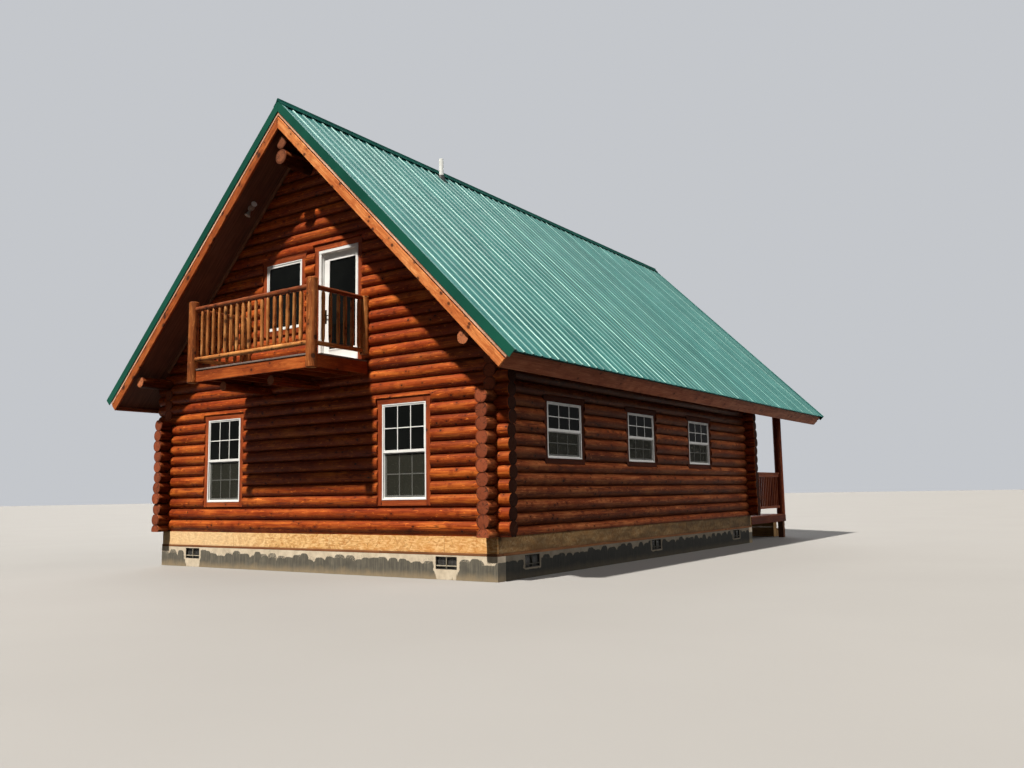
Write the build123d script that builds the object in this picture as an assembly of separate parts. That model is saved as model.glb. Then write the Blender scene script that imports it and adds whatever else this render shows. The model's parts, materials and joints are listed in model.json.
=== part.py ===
"""Two-storey gabled log cabin on a vented concrete stem wall.

Round logs, saddle notched at the corners, carry a steep ribbed-metal roof with
a log-railed balcony on the front gable and a covered porch behind the back wall.
All sizes in millimetres.

Working axes: X to the right along the front gable, Y from the front face back
through the house, Z up. While a piece is being shaped, Y = 0 is the front face
of the floor band and Z = 0 is the top of that band. shift() then moves every
piece to the part's own frame, whose origin is the bottom centre.
"""

import math
import os

from build123d import *

# ---------------------------------------------------------------- dimensions
# body of the house
HALF_W = 3987.0          # centre line to the outer face of the floor band
LENGTH = 10530.0         # front face to back face of the floor band
GROUND = -640.0          # level floor below the top of the floor band

# logs
PITCH = 201.8            # course height
LOG_R = 115.0            # log radius
AX = 3900.0              # side walls' log axis from the centre line
AYF = 85.0               # front wall's log axis
AYB = LENGTH - 85.0      # back wall's log axis
Z_SIDE0 = 27.6           # axis of the side walls' first, half, log
Z_FRONT0 = Z_SIDE0 + PITCH / 2
END_OUT = 240.0          # how far the side logs stand out past the floor band
STUB_X = 4225.0          # tip of the gable wall logs past the side walls
SIDE_LONG = 10           # side courses 0 to 10 stand out at the corners
SIDE_TOP = 13            # last course of the side walls, under the plate log
FRONT_LONG = 12          # gable courses 0 to 12 have stubs

# roof, 45 degrees, measured down from the plane of the metal
RIDGE_Z = 7400.0         # where the two metal planes meet
ROOT2 = math.sqrt(2.0)
EAVE_S = 6855.0          # slope length, ridge to drip edge
ROOF_Y0 = -752.0         # front rake
ROOF_Y1 = 14190.0        # back rake, over the porch
DECK_TOP = 16.0          # below the metal plane, square to the slope
DECK_BOT = 270.0
FASCIA_S = 6800.0        # outer face of the eave fascia, square to the slope
FASCIA_T = 38.0
FASCIA_LOW = 348.0       # its lower edge, below the metal plane
RIB_PITCH = 228.6
RIB_H = 19.0
PAN_DEPTH = 10.0         # pan of the sheet below the plane of the metal
SHEET_T = 4.0
RAKE_T = 14.0            # rake trim thickness
RAKE_LOW = 125.0         # lower edge of the rake trim
STRIP_TOP, STRIP_BOT = 127.0, 170.0
BARGE_TOP, BARGE_BOT = 192.0, 335.0
BARGE_T = 38.0
BARGE_S = 6806.0         # square lower end of barge board and strip

# carrying logs
PLATE_Z = Z_SIDE0 + 14 * PITCH
PURLIN_END = 92.0        # log ends stay this far inside the rakes
RIDGE_LOG = ((6437.0, 137.0), (6710.0, 122.0))

# windows: width, height
WIN_F = (914.0, 1524.0)
WIN_F_X = 2203.0         # centres either side of the centre line
WIN_F_SILL = 550.0
WIN_S = (1080.0, 910.0)
WIN_S_Y = (1416.0, 4226.0, 7002.0)
WIN_S_SILL = 1172.0
WIN_U = (914.0, 1219.0)
WIN_U_X = -623.0         # centre of the front gable window
WIN_U_SILL = 3581.0
TRIM_W = 90.0
TRIM_OUT = 5.0           # trim stands this far in front of the window face
TRIM_BACK = 20.0
FRAME_W = 50.0
FRAME_D = 85.0

# balcony door: brick mould outside size
DOOR_X0, DOOR_X1 = 262.0, 1200.0
DOOR_Z0, DOOR_Z1 = 2830.0, 4862.0

# balcony
POST_R = 87.0
POST_XR, POST_XL, POST_Y = 1385.0, -1540.0, -1195.0
POST_Z0, POST_Z1 = 2590.0, 4000.0
BALC_XR, BALC_XL = 1455.0, -1610.0
BALC_YF = -1190.0
RIM_Z0, RIM_Z1 = 2602.0, 2795.0
BALC_DECK_TOP = 2825.0
RAIL_TOP_Z, RAIL_BOT_Z = 3866.0, 2990.0
JOIST_X = (230.0, -970.0)
JOIST_Z, JOIST_R = 2510.0, 83.0

# porch behind the back wall
PORCH_Y1 = 13190.0       # outer face of the back rim
PORCH_TOP = -30.0        # deck surface
PORCH_POST_R = 110.0
PORCH_POST_Y = 13070.0

Y_MID = (POST_Y - POST_R + ROOF_Y1) / 2.0


# ------------------------------------------------------------------- helpers
def shift(shape):
    return Pos(0, -Y_MID, -GROUND) * shape


def box(x0, x1, y0, y1, z0, z1):
    return Pos((x0 + x1) / 2, (y0 + y1) / 2, (z0 + z1) / 2) * Box(x1 - x0, y1 - y0, z1 - z0)


def cyl_x(y, z, r, x0, x1):
    return Pos((x0 + x1) / 2, y, z) * Rot(0, 90, 0) * Cylinder(r, x1 - x0)


def cyl_y(x, z, r, y0, y1):
    return Pos(x, (y0 + y1) / 2, z) * Rot(90, 0, 0) * Cylinder(r, y1 - y0)


def cyl_z(x, y, r, z0, z1):
    return Pos(x, y, (z0 + z1) / 2) * Cylinder(r, z1 - z0)


def fuse(parts):
    return parts[0].fuse(*parts[1:]) if len(parts) > 1 else parts[0]


def cut(shape, tools):
    return shape.cut(*tools)


def solids(shape):
    return list(shape.solids())


def mirrored(shape):
    return mirror(shape, about=Plane.YZ)


def prism_xz(points, y0, y1):
    """A plate with the outline points (x, z), between y0 and y1."""
    face = Plane.XZ * make_face(Polyline(*points, close=True))
    body = extrude(face, amount=-(y1 - y0))
    return Pos(0, y0, 0) * body


def slope_bar(s0, s1, p0, p1, y0, y1):
    """A bar on the right slope: s along it from the ridge, p square below the metal."""
    def at(s, p):
        return ((s - p) / ROOT2, RIDGE_Z - (s + p) / ROOT2)
    return prism_xz([at(s0, p0), at(s1, p0), at(s1, p1), at(s0, p1)], y0, y1)


def rake_bar(s1, p0, p1, y0, y1, gap=1.0):
    """A rake board on the right slope, plumb cut at the ridge, square at the eave."""
    def at(s, p):
        return ((s - p) / ROOT2, RIDGE_Z - (s + p) / ROOT2)
    return prism_xz(
        [(gap, RIDGE_Z - p0 * ROOT2 - gap), at(s1, p0), at(s1, p1), (gap, RIDGE_Z - p1 * ROOT2 - gap)],
        y0, y1)


parts = {}


def put(name, *shapes):
    bodies = []
    for s in shapes:
        bodies.extend(solids(s))
    parts[name] = bodies


# ----------------------------------------------------------- concrete footing
FO = HALF_W + 8.0        # outer faces of the stem wall
FT = 203.0
FZ1 = -281.0
VENT_W, VENT_H, VENT_Z = 406.0, 190.0, -490.0
vents_front = (-3045.0, 3045.0)
vents_side = (904.0, 5250.0, 9500.0)
f_front = box(-FO, FO, -8, -8 + FT, GROUND, FZ1)
f_back = box(-FO, FO, LENGTH + 8 - FT, LENGTH + 8, GROUND, FZ1)
f_right = box(FO - FT, FO, -8 + FT + 1, LENGTH + 8 - FT - 1, GROUND, FZ1)
vent_bodies = []
for x in vents_front:
    hole = box(x - VENT_W / 2, x + VENT_W / 2, -100, 300, VENT_Z, VENT_Z + VENT_H)
    f_front = f_front - hole
    vent_bodies.append(box(x - VENT_W / 2 + 1, x + VENT_W / 2 - 1, 12, 32, VENT_Z + 1, VENT_Z + VENT_H - 1))
for x in vents_front:
    hole = box(x - VENT_W / 2, x + VENT_W / 2, LENGTH - 300, LENGTH + 100, VENT_Z, VENT_Z + VENT_H)
    f_back = f_back - hole
    vent_bodies.append(box(x - VENT_W / 2 + 1, x + VENT_W / 2 - 1, LENGTH - 32, LENGTH - 12, VENT_Z + 1, VENT_Z + VENT_H - 1))
for y in vents_side:
    hole = box(FO - 300, FO + 100, y - VENT_W / 2, y + VENT_W / 2, VENT_Z, VENT_Z + VENT_H)
    f_right = f_right - hole
    g = box(FO - 40, FO - 20, y - VENT_W / 2 + 1, y + VENT_W / 2 - 1, VENT_Z + 1, VENT_Z + VENT_H - 1)
    vent_bodies.extend([g, mirrored(g)])
put("foundation_walls", f_front, f_back, f_right, mirrored(f_right))
put("foundation_vents", *vent_bodies)

# sill plates, one board along each wall
SZ0, SZ1 = FZ1, -243.0
put("sill_plates",
    box(-HALF_W, HALF_W, 0, 140, SZ0, SZ1),
    box(-HALF_W, HALF_W, LENGTH - 140, LENGTH, SZ0, SZ1),
    box(HALF_W - 140, HALF_W, 141, LENGTH - 141, SZ0, SZ1),
    box(-HALF_W, -HALF_W + 140, 141, LENGTH - 141, SZ0, SZ1))

# floor band of strand board, one panel along each wall
BT = 28.0
put("rim_bands",
    box(-HALF_W, HALF_W, 0, BT, SZ1, 0),
    box(-HALF_W, HALF_W, LENGTH - BT, LENGTH, SZ1, 0),
    box(HALF_W - BT, HALF_W, BT + 1, LENGTH - BT - 1, SZ1, 0),
    box(-HALF_W, -HALF_W + BT, BT + 1, LENGTH - BT - 1, SZ1, 0))

# ground floor: subfloor on joists
fx, fy0, fy1 = HALF_W - BT - 1, BT + 1, LENGTH - BT - 1
floor_parts = [box(-fx, fx, fy0, fy1, -23, 0)]
n_joist = 9
for i in range(n_joist):
    y = fy0 + 100 + i * (fy1 - fy0 - 200) / (n_joist - 1)
    floor_parts.append(box(-fx, fx, y - 22, y + 22, SZ1, -22))
put("ground_floor", fuse(floor_parts))


# ------------------------------------------------------------------ log walls
def side_z(k):
    return Z_SIDE0 + PITCH * k


def front_z(j):
    return Z_FRONT0 + PITCH * j


SOFFIT_Z = RIDGE_Z - DECK_BOT * ROOT2       # soffit planes meet here
NOTCH = LOG_R + 1.0


def gable_wall(y_axis, inward):
    """A gable wall of notched logs; inward is +1 where the house lies towards +Y."""
    logs = []
    j = 0
    while front_z(j) - LOG_R < SOFFIT_Z - 120:
        z = front_z(j)
        half = STUB_X if j <= FRONT_LONG else min(STUB_X, SOFFIT_Z - (z - LOG_R))
        log = cyl_x(y_axis, z, LOG_R, -half, half)
        if j <= 14:
            zb = side_z(j)
            tools = [cyl_y(sx * AX, zb, NOTCH, y_axis - 500, y_axis + 500) for sx in (-1, 1)]
            log = log.cut(*tools)
        logs.append(log)
        j += 1
    # level seat under the first log
    logs.append(box(-AX + 130, AX - 130, y_axis - 55, y_axis + 55, 0, Z_FRONT0))
    wall = fuse(logs)
    top = SOFFIT_Z - 1.5
    keep = prism_xz([(-STUB_X - 50, 0), (STUB_X + 50, 0), (STUB_X + 50, top - STUB_X - 50), (0, top),
                     (-STUB_X - 50, top - STUB_X - 50)], y_axis - 400, y_axis + 400)
    wall = wall & keep
    ridge_holes = [cyl_y(0, z, r + 1, y_axis - 500, y_axis + 500) for z, r in RIDGE_LOG]
    ridge_holes.append(box(-61, 61, y_axis - 500, y_axis + 500, RIDGE_LOG[0][0], RIDGE_LOG[1][0]))
    return wall.cut(*ridge_holes)


def side_wall():
    """The right wall of notched logs, up to the log under the plate."""
    logs = []
    for k in range(SIDE_TOP + 1):
        z = side_z(k)
        out = END_OUT if k <= SIDE_LONG else 28.0
        log = cyl_y(AX, z, LOG_R, -out, LENGTH + out)
        if k > 0:
            za = front_z(k - 1)
            log = log.cut(cyl_x(AYF, za, NOTCH, AX - 500, AX + 500),
                          cyl_x(AYB, za, NOTCH, AX - 500, AX + 500))
        else:
            log = log - box(AX - 300, AX + 300, -1000, LENGTH + 1000, -400, 0)
        logs.append(log)
    return fuse(logs)


def opening(x0, x1, z0, z1, face, inward):
    """Tools that open a gable wall for a unit x0..x1, z0..z1 and its trim; face is the unit's outer face."""
    t = TRIM_W + 2
    yy = sorted((face - inward * 300, face + inward * (TRIM_BACK + 1)))
    yt = sorted((face - inward * 400, face + inward * 500))
    return [box(x0 - t, x1 + t, yy[0], yy[1], z0 - t, z1 + t),
            box(x0 - 1, x1 + 1, yt[0], yt[1], z0 - 1, z1 + 1)]


def side_opening(y0, y1, z0, z1):
    t = TRIM_W + 2
    return [box(HALF_W - TRIM_BACK - 1, HALF_W + 300, y0 - t, y1 + t, z0 - t, z1 + t),
            box(HALF_W - 500, HALF_W + 400, y0 - 1, y1 + 1, z0 - 1, z1 + 1)]


def ring(x0, x1, z0, z1, w, y0, y1):
    return box(x0, x1, y0, y1, z0, z1) - box(x0 + w, x1 - w, y0 - 5, y1 + 5, z0 + w, z1 - w)


def gable_unit(x0, x1, z0, z1, face, inward, rail=True):
    """Frame, panes and trim ring of a single-hung window in a gable wall."""
    def yr(a, b):
        return sorted((face + inward * a, face + inward * b))
    fr = ring(x0, x1, z0, z1, FRAME_W, *yr(0, FRAME_D))
    zm = (z0 + z1) / 2
    fr = fr + box(x0 + FRAME_W - 1, x1 - FRAME_W + 1, *yr(12, 62), zm - 24, zm + 24)
    g = FRAME_W + 1
    up = box(x0 + g, x1 - g, *yr(22, 28), zm + 25, z1 - g)
    lo = box(x0 + g, x1 - g, *yr(46, 52), z0 + g, zm - 25)
    tr = ring(x0 - TRIM_W - 1, x1 + TRIM_W + 1, z0 - TRIM_W - 1, z1 + TRIM_W + 1, TRIM_W, *yr(-TRIM_OUT, TRIM_BACK))
    return fr, [up, lo], tr


def turn_side(shape):
    """Takes a unit drawn in a front wall at y = 0 to the right wall's outer face."""
    return Pos(HALF_W, 0, 0) * Rot(0, 0, 90) * shape


# window and door positions on the gables
def fx_range(c, w):
    return c - w / 2, c + w / 2


front_units = [fx_range(-WIN_F_X, WIN_F[0]) + (WIN_F_SILL, WIN_F_SILL + WIN_F[1]),
               fx_range(WIN_F_X, WIN_F[0]) + (WIN_F_SILL, WIN_F_SILL + WIN_F[1]),
               fx_range(WIN_U_X, WIN_U[0]) + (WIN_U_SILL, WIN_U_SILL + WIN_U[1])]
back_units = [front_units[0], front_units[1],
              fx_range(0.0, WIN_U[0]) + (WIN_U_SILL, WIN_U_SILL + WIN_U[1])]
ENTRY = (-470.0, 470.0, 2.0, 2060.0)

front = gable_wall(AYF, 1)
tools = []
for u in front_units:
    tools += opening(*u, 0.0, 1)
tools += opening(DOOR_X0, DOOR_X1, DOOR_Z0, DOOR_Z1, 0.0, 1)
tools += [cyl_y(x, JOIST_Z, JOIST_R + 1, -600, 800) for x in JOIST_X]
put("front_wall", front.cut(*tools))

back = gable_wall(AYB, -1)
tools = []
for u in back_units:
    tools += opening(*u, LENGTH, -1)
tools += opening(*ENTRY, LENGTH, -1)
put("back_wall", back.cut(*tools))

right = side_wall()
tools = []
for y in WIN_S_Y:
    tools += side_opening(y, y + WIN_S[0], WIN_S_SILL, WIN_S_SILL + WIN_S[1])
right = right.cut(*tools)
put("right_wall", right)
put("left_wall", mirrored(right))

# plate logs on the side walls, run out to carry both roof overhangs
plate = cyl_y(AX, PLATE_Z, LOG_R, ROOF_Y0 + PURLIN_END, ROOF_Y1 - PURLIN_END)
plate = plate.cut(cyl_y(AX, side_z(SIDE_TOP), LOG_R + 0.5, -28, LENGTH + 28),
                  cyl_x(AYF, front_z(SIDE_TOP), NOTCH, AX - 500, AX + 500),
                  cyl_x(AYB, front_z(SIDE_TOP), NOTCH, AX - 500, AX + 500))
plate = plate + box(AX - 40, AX + 40, AYF + 130, AYB - 130, PLATE_Z, SOFFIT_Z - AX - 42)
put("plate_logs", plate, mirrored(plate))

# two ridge logs, one on the other
low = cyl_y(0, RIDGE_LOG[0][0], RIDGE_LOG[0][1], ROOF_Y0 + PURLIN_END, ROOF_Y1 - PURLIN_END)
high = cyl_y(0, RIDGE_LOG[1][0], RIDGE_LOG[1][1], ROOF_Y0 + PURLIN_END, ROOF_Y1 - PURLIN_END)
put("ridge_logs", low + (high + box(-60, 60, ROOF_Y0 + PURLIN_END, ROOF_Y1 - PURLIN_END,
                                    RIDGE_LOG[0][0], RIDGE_LOG[1][0])))

# loft floor: boards on joists, level with the balcony door
lx, ly0, ly1 = AX - LOG_R - 3, AYF + LOG_R + 3, AYB - LOG_R - 3
loft = [box(-lx, lx, ly0, ly1, 2782, 2812)]
for i in range(9):
    y = ly0 + 60 + i * (ly1 - ly0 - 120) / 8
    loft.append(box(-lx, lx, y - 22, y + 22, 2612, 2783))
put("loft_floor", fuse(loft))

# ----------------------------------------------------------------------- roof
R_Y0, R_Y1 = ROOF_Y0 + 48.0, ROOF_Y1 - 48.0
zt = RIDGE_Z - DECK_TOP * ROOT2


def on_slope(s, p):
    """A point of the right slope: s down from the ridge, p square below the metal plane."""
    return ((s - p) / ROOT2, RIDGE_Z - (s + p) / ROOT2)


deck_end = FASCIA_S - FASCIA_T - 1
deck = prism_xz([(1, zt - 1), on_slope(deck_end, DECK_TOP), on_slope(deck_end, DECK_BOT), (1, SOFFIT_Z - 1)], R_Y0, R_Y1)
put("roof_deck_right", deck)
put("roof_deck_left", mirrored(deck))

# ribbed sheet
ys0, ys1 = ROOF_Y0 + RAKE_T + 1, ROOF_Y1 - RAKE_T - 1
pts = [(ys0, -PAN_DEPTH - SHEET_T), (ys0, -PAN_DEPTH)]
y = ys0 + 26.0
while y + 30 < ys1:
    pts += [(y - 24, -PAN_DEPTH), (y - 9, -PAN_DEPTH + RIB_H), (y + 9, -PAN_DEPTH + RIB_H), (y + 24, -PAN_DEPTH)]
    y += RIB_PITCH
pts += [(ys1, -PAN_DEPTH), (ys1, -PAN_DEPTH - SHEET_T)]
slope_plane = Plane(origin=(0, 0, RIDGE_Z), x_dir=(0, 1, 0), z_dir=(1, 0, -1))
sheet_face = slope_plane * make_face(Polyline(*[(a, b) for a, b in pts], close=True))
sheet = extrude(sheet_face, amount=EAVE_S)
sheet = sheet - box(-2000, 3, ROOF_Y0 - 100, ROOF_Y1 + 100, 6000, 8000)
put("roof_metal_right", sheet)
put("roof_metal_left", mirrored(sheet))

# ridge cap, two wings and a rolled top
cap_w = 125.0
ci, co = -(RIB_H - PAN_DEPTH) - 1.0, -(RIB_H - PAN_DEPTH) - 4.0


def cap_at(s, p, side):
    return (side * (s - p) / ROOT2, RIDGE_Z - (s + p) / ROOT2)


cap = prism_xz([cap_at(cap_w, ci, 1), cap_at(cap_w, co, 1), (0, RIDGE_Z - co * ROOT2), cap_at(cap_w, co, -1),
                cap_at(cap_w, ci, -1), (0, RIDGE_Z - ci * ROOT2)], ROOF_Y0, ROOF_Y1)
cap = cap + cyl_y(0, RIDGE_Z + 32, 24, ROOF_Y0, ROOF_Y1)
put("ridge_cap", cap)

# rake trims, strips and barge boards at both gables
rake, strips, barges = [], [], []
for y0, y1, b0, b1 in ((ROOF_Y0, ROOF_Y0 + RAKE_T, ROOF_Y0 + 8, ROOF_Y0 + 46),
                       (ROOF_Y1 - RAKE_T, ROOF_Y1, ROOF_Y1 - 46, ROOF_Y1 - 8)):
    t = rake_bar(EAVE_S, -6.0, RAKE_LOW, y0, y1)
    rake += [t, mirrored(t)]
    s0, s1 = (y0 + RAKE_T + 1, b1) if y0 < 0 else (b0, y1 - RAKE_T - 1)
    st = rake_bar(BARGE_S, STRIP_TOP, STRIP_BOT, b0, b1)
    strips += [st, mirrored(st)]
    bb = rake_bar(BARGE_S, BARGE_TOP, BARGE_BOT, b0, b1)
    barges += [bb, mirrored(bb)]
put("rake_trims", *rake)
put("rake_strips", *strips)
put("barge_boards", *barges)

# eave fascias, on square-cut eaves
fas = prism_xz([on_slope(FASCIA_S - FASCIA_T, 17), on_slope(FASCIA_S, 17), on_slope(FASCIA_S, FASCIA_LOW),
                on_slope(FASCIA_S - FASCIA_T, FASCIA_LOW)], R_Y0, R_Y1)
put("fascia_boards", fas, mirrored(fas))

# --------------------------------------------------------- windows and trims
trims = []
frames, panes = [], []
for u in front_units:
    f, g, t = gable_unit(*u, 0.0, 1)
    frames.append(f)
    panes += g
    trims.append(t)
put("front_window_frames", *frames)
put("front_window_glass", *panes)
frames, panes = [], []
for u in back_units:
    f, g, t = gable_unit(*u, LENGTH, -1)
    frames.append(f)
    panes += g
    trims.append(t)
put("back_window_frames", *frames)
put("back_window_glass", *panes)
frames, panes = [], []
for y in WIN_S_Y:
    f, g, t = gable_unit(y, y + WIN_S[0], WIN_S_SILL, WIN_S_SILL + WIN_S[1], 0.0, 1)
    frames.append(turn_side(f))
    panes += [turn_side(q) for q in g]
    trims += [turn_side(t), mirrored(turn_side(t))]
put("right_window_frames", *frames)
put("right_window_glass", *panes)
put("left_window_frames", *[mirrored(f) for f in frames])
put("left_window_glass", *[mirrored(g) for g in panes])


def door_trim(x0, x1, z0, z1, face, inward):
    yy = sorted((face - inward * TRIM_OUT, face + inward * TRIM_BACK))
    a = TRIM_W + 1
    return (box(x0 - a, x1 + a, yy[0], yy[1], z0, z1 + a)
            - box(x0 - 1, x1 + 1, yy[0] - 5, yy[1] + 5, z0 - 10, z1 + 1))


trims.append(door_trim(DOOR_X0, DOOR_X1, DOOR_Z0, DOOR_Z1, 0.0, 1))
trims.append(door_trim(*ENTRY, LENGTH, -1))
put("window_trims", *trims)

# balcony door: frame, leaf, pane and handle
DF = 63.0
d_frame = ring(DOOR_X0, DOOR_X1, DOOR_Z0, DOOR_Z1, DF, 0, 110)
d_frame = d_frame + box(DOOR_X0 + DF - 1, DOOR_X1 - DF + 1, 0, 110, DOOR_Z0, DOOR_Z0 + DF)
put("balcony_door_frame", d_frame)
lx0, lx1, lz0, lz1 = DOOR_X0 + DF + 2, DOOR_X1 - DF - 2, DOOR_Z0 + DF + 2, DOOR_Z1 - DF - 2
gx0, gx1, gz0, gz1 = lx0 + 140, lx1 - 48, lz0 + 120, lz1 - 100
leaf = box(lx0, lx1, 62, 106, lz0, lz1) - box(gx0, gx1, 0, 200, gz0, gz1)
put("balcony_door", leaf)
put("balcony_door_glass", box(gx0 + 1, gx1 - 1, 76, 94, gz0 + 1, gz1 - 1))
hz = (3577.0 + 3818.0) / 2
handle = box(lx0 + 30, lx0 + 72, 54, 61.5, hz - 120, hz + 120)
handle = handle + cyl_y(lx0 + 51, hz + 10, 11, 12, 55) + cyl_x(18, hz + 10, 9, lx0 + 45, lx0 + 150)
put("balcony_door_handle", handle)

# entry door under the porch
EF = 60.0
ex0, ex1, ez0, ez1 = ENTRY
e_frame = box(ex0, ex1, LENGTH - 110, LENGTH, ez0, ez1) - box(ex0 + EF, ex1 - EF, LENGTH - 200, LENGTH + 50, ez0 + 30, ez1 - EF)
put("entry_door_frame", e_frame)
e_leaf = box(ex0 + EF + 2, ex1 - EF - 2, LENGTH - 100, LENGTH - 56, ez0 + 33, ez1 - EF - 2)
ey = LENGTH - 56
for zz0, zz1 in ((ez0 + 180, ez0 + 880), (ez0 + 1040, ez1 - EF - 130)):
    for xx0, xx1 in ((-290.0, -40.0), (40.0, 290.0)):
        e_leaf = e_leaf - box(xx0, xx1, ey - 8, ey + 5, zz0, zz1)
knob = cyl_y(345, 1010, 14, ey - 1, ey + 40) + Pos(345, ey + 46, 1010) * Sphere(28)
put("entry_door", e_leaf + knob)

# -------------------------------------------------------------------- balcony
put("balcony_joists", *[cyl_y(x, JOIST_Z, JOIST_R, -1000, 2000) for x in JOIST_X])
post_tools = [cyl_z(POST_XR, POST_Y, POST_R + 1, 2000, 4500), cyl_z(POST_XL, POST_Y, POST_R + 1, 2000, 4500)]
T = 38.0
b_frame = fuse([box(BALC_XL, BALC_XR, BALC_YF, BALC_YF + T, RIM_Z0, RIM_Z1),
                box(BALC_XR - T, BALC_XR, BALC_YF, -32, RIM_Z0, RIM_Z1),
                box(BALC_XL, BALC_XL + T, BALC_YF, -32, RIM_Z0, RIM_Z1),
                box(BALC_XL, BALC_XR, -32 - T, -32, RIM_Z0, RIM_Z1),
                box(BALC_XL, BALC_XR, -620, -620 + T, RIM_Z0, RIM_Z1)])
put("balcony_frame", b_frame.cut(*post_tools))
b_deck = box(BALC_XL, BALC_XR, BALC_YF - 14, -32, BALC_DECK_TOP - 28, BALC_DECK_TOP)
put("balcony_deck", b_deck.cut(*post_tools))


def peeled_post(x, y, r, z0, z1):
    p = cyl_z(x, y, r, z0, z1)
    return chamfer(p.edges().filter_by(GeomType.CIRCLE).group_by(Axis.Z)[-1], 14)


put("balcony_posts", peeled_post(POST_XR, POST_Y, POST_R, POST_Z0, POST_Z1),
    peeled_post(POST_XL, POST_Y, POST_R, POST_Z0, POST_Z1))

# front railing
rx0, rx1 = POST_XL + POST_R + 1, POST_XR - POST_R - 1
rail = [cyl_x(POST_Y, RAIL_TOP_Z, 42, rx0, rx1), cyl_x(POST_Y, RAIL_BOT_Z, 38, rx0, rx1)]
step = (rx1 - rx0) / 18
for i in range(17):
    rail.append(cyl_z(rx0 + step * (i + 1), POST_Y, 28, RAIL_BOT_Z, RAIL_TOP_Z))
put("balcony_railing_front", fuse(rail))


def side_railing(x):
    y0, y1 = POST_Y + POST_R + 1, -33.0
    r = [cyl_y(x, RAIL_TOP_Z, 40, y0, y1), cyl_y(x, RAIL_BOT_Z, 36, y0, y1)]
    for i in range(6):
        r.append(cyl_z(x, -957 + 157 * i, 28, RAIL_BOT_Z, RAIL_TOP_Z))
    half_post = cyl_z(x, -33, POST_R, 2930, 3895) - box(x - 200, x + 200, -33, 200, 2500, 4200)
    r.append(half_post)
    return fuse(r)


put("balcony_railing_right", side_railing(POST_XR))
put("balcony_railing_left", side_railing(POST_XL))

# ---------------------------------------------------------------------- porch
PX = HALF_W
py0 = LENGTH + 34.0
frame_bits = [box(PX - T, PX, py0, PORCH_Y1, -222, -58), box(-PX, -PX + T, py0, PORCH_Y1, -222, -58),
              box(-PX, PX, PORCH_Y1 - T, PORCH_Y1, -222, -58), box(-PX, PX, py0, py0 + T, -222, -58)]
for i in range(1, 6):
    x = -PX + 2 * PX * i / 6
    frame_bits.append(box(x - 19, x + 19, py0, PORCH_Y1, -222, -58))
put("porch_frame", fuse(frame_bits))
put("porch_deck", box(-PX, PX, py0, PORCH_Y1, -57, PORCH_TOP))
piers = []
for x in (-3890.0, -1300.0, 1300.0, 3890.0):
    piers.append(box(x - 70, x + 70, PORCH_Y1 - T - 145, PORCH_Y1 - T - 5, GROUND, -223))
put("porch_piers", *piers)
plate_tools = [cyl_y(sx * AX, PLATE_Z, LOG_R + 1, LENGTH + 500, ROOF_Y1) for sx in (-1, 1)]
posts = []
for sx in (-1, 1):
    p = cyl_z(sx * AX, PORCH_POST_Y, PORCH_POST_R, PORCH_TOP + 1, PLATE_Z)
    posts.append(p.cut(*plate_tools))
put("porch_posts", *posts)

# tie log across the plate logs, with a king post under the ridge logs
tie = cyl_x(PORCH_POST_Y, PLATE_Z + 20, 108, -3850, 3850).cut(*plate_tools)
tie = tie - box(-200, 200, PORCH_POST_Y - 200, PORCH_POST_Y + 200, PLATE_Z + 108, PLATE_Z + 300)
king = cyl_z(0, PORCH_POST_Y, 92, PLATE_Z + 109, RIDGE_LOG[0][0])
king = king - cyl_y(0, RIDGE_LOG[0][0], RIDGE_LOG[0][1] + 1, LENGTH, ROOF_Y1)
put("porch_truss", tie, king)


def rail_panel(a0, a1, along_x, other):
    """A flat railing between a0 and a1 with square balusters."""
    def b(u0, u1, w, z0, z1):
        return box(u0, u1, other - w, other + w, z0, z1) if along_x else box(other - w, other + w, u0, u1, z0, z1)
    bits = [b(a0, a1, 44, 1010, 1048), b(a0, a1, 19, 935, 1011), b(a0, a1, 22, 128, 190)]
    n = int(round((a1 - a0) / 135.0)) - 1
    pitch = (a1 - a0) / (n + 1)
    for i in range(n):
        u = a0 + pitch * (i + 1)
        bits.append(b(u - 18, u + 18, 18, 189, 936))
    return fuse(bits)


pr = rail_panel(LENGTH + END_OUT + 2, PORCH_POST_Y - PORCH_POST_R - 1, False, AX)
put("porch_railing_right", pr)
put("porch_railing_left", mirrored(pr))
STEP_X0, STEP_X1 = 2450.0, 3650.0
newel = box(STEP_X0 - 100, STEP_X0 - 10, PORCH_POST_Y - 45, PORCH_POST_Y + 45, PORCH_TOP + 1, 1090)
pb = rail_panel(-AX + PORCH_POST_R + 1, STEP_X0 - 100, True, PORCH_POST_Y)
put("porch_railing_back", pb + newel)

# two boxed steps down behind the porch
steps = [box(STEP_X0, STEP_X1, PORCH_Y1 + 2, PORCH_Y1 + 282, GROUND, -234),
         box(STEP_X0, STEP_X1, PORCH_Y1 + 2, PORCH_Y1 + 542, GROUND, -434)]
put("porch_steps", fuse(steps))

# -------------------------------------------------------------- roof vent pipe
VX, VY = 215.0, 3456.0
v_metal = RIDGE_Z - VX
v_over = (RIB_H - PAN_DEPTH + 1.5) * ROOT2
lower = prism_xz([(-400, RIDGE_Z + 400 + v_over), (1100, RIDGE_Z - 1100 + v_over), (1100, 5500), (-400, 5500)], VY - 300, VY + 300)
pipe = cyl_z(VX, VY, 46, v_metal - 60, v_metal + 430) - cyl_z(VX, VY, 39, v_metal + 100, v_metal + 600)
put("vent_pipe", pipe - lower)
boot = Pos(VX, VY, v_metal + 20) * Cone(75, 56, 110) - cyl_z(VX, VY, 47, v_metal - 300, v_metal + 500)
put("vent_boot", boot - lower)

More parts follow.
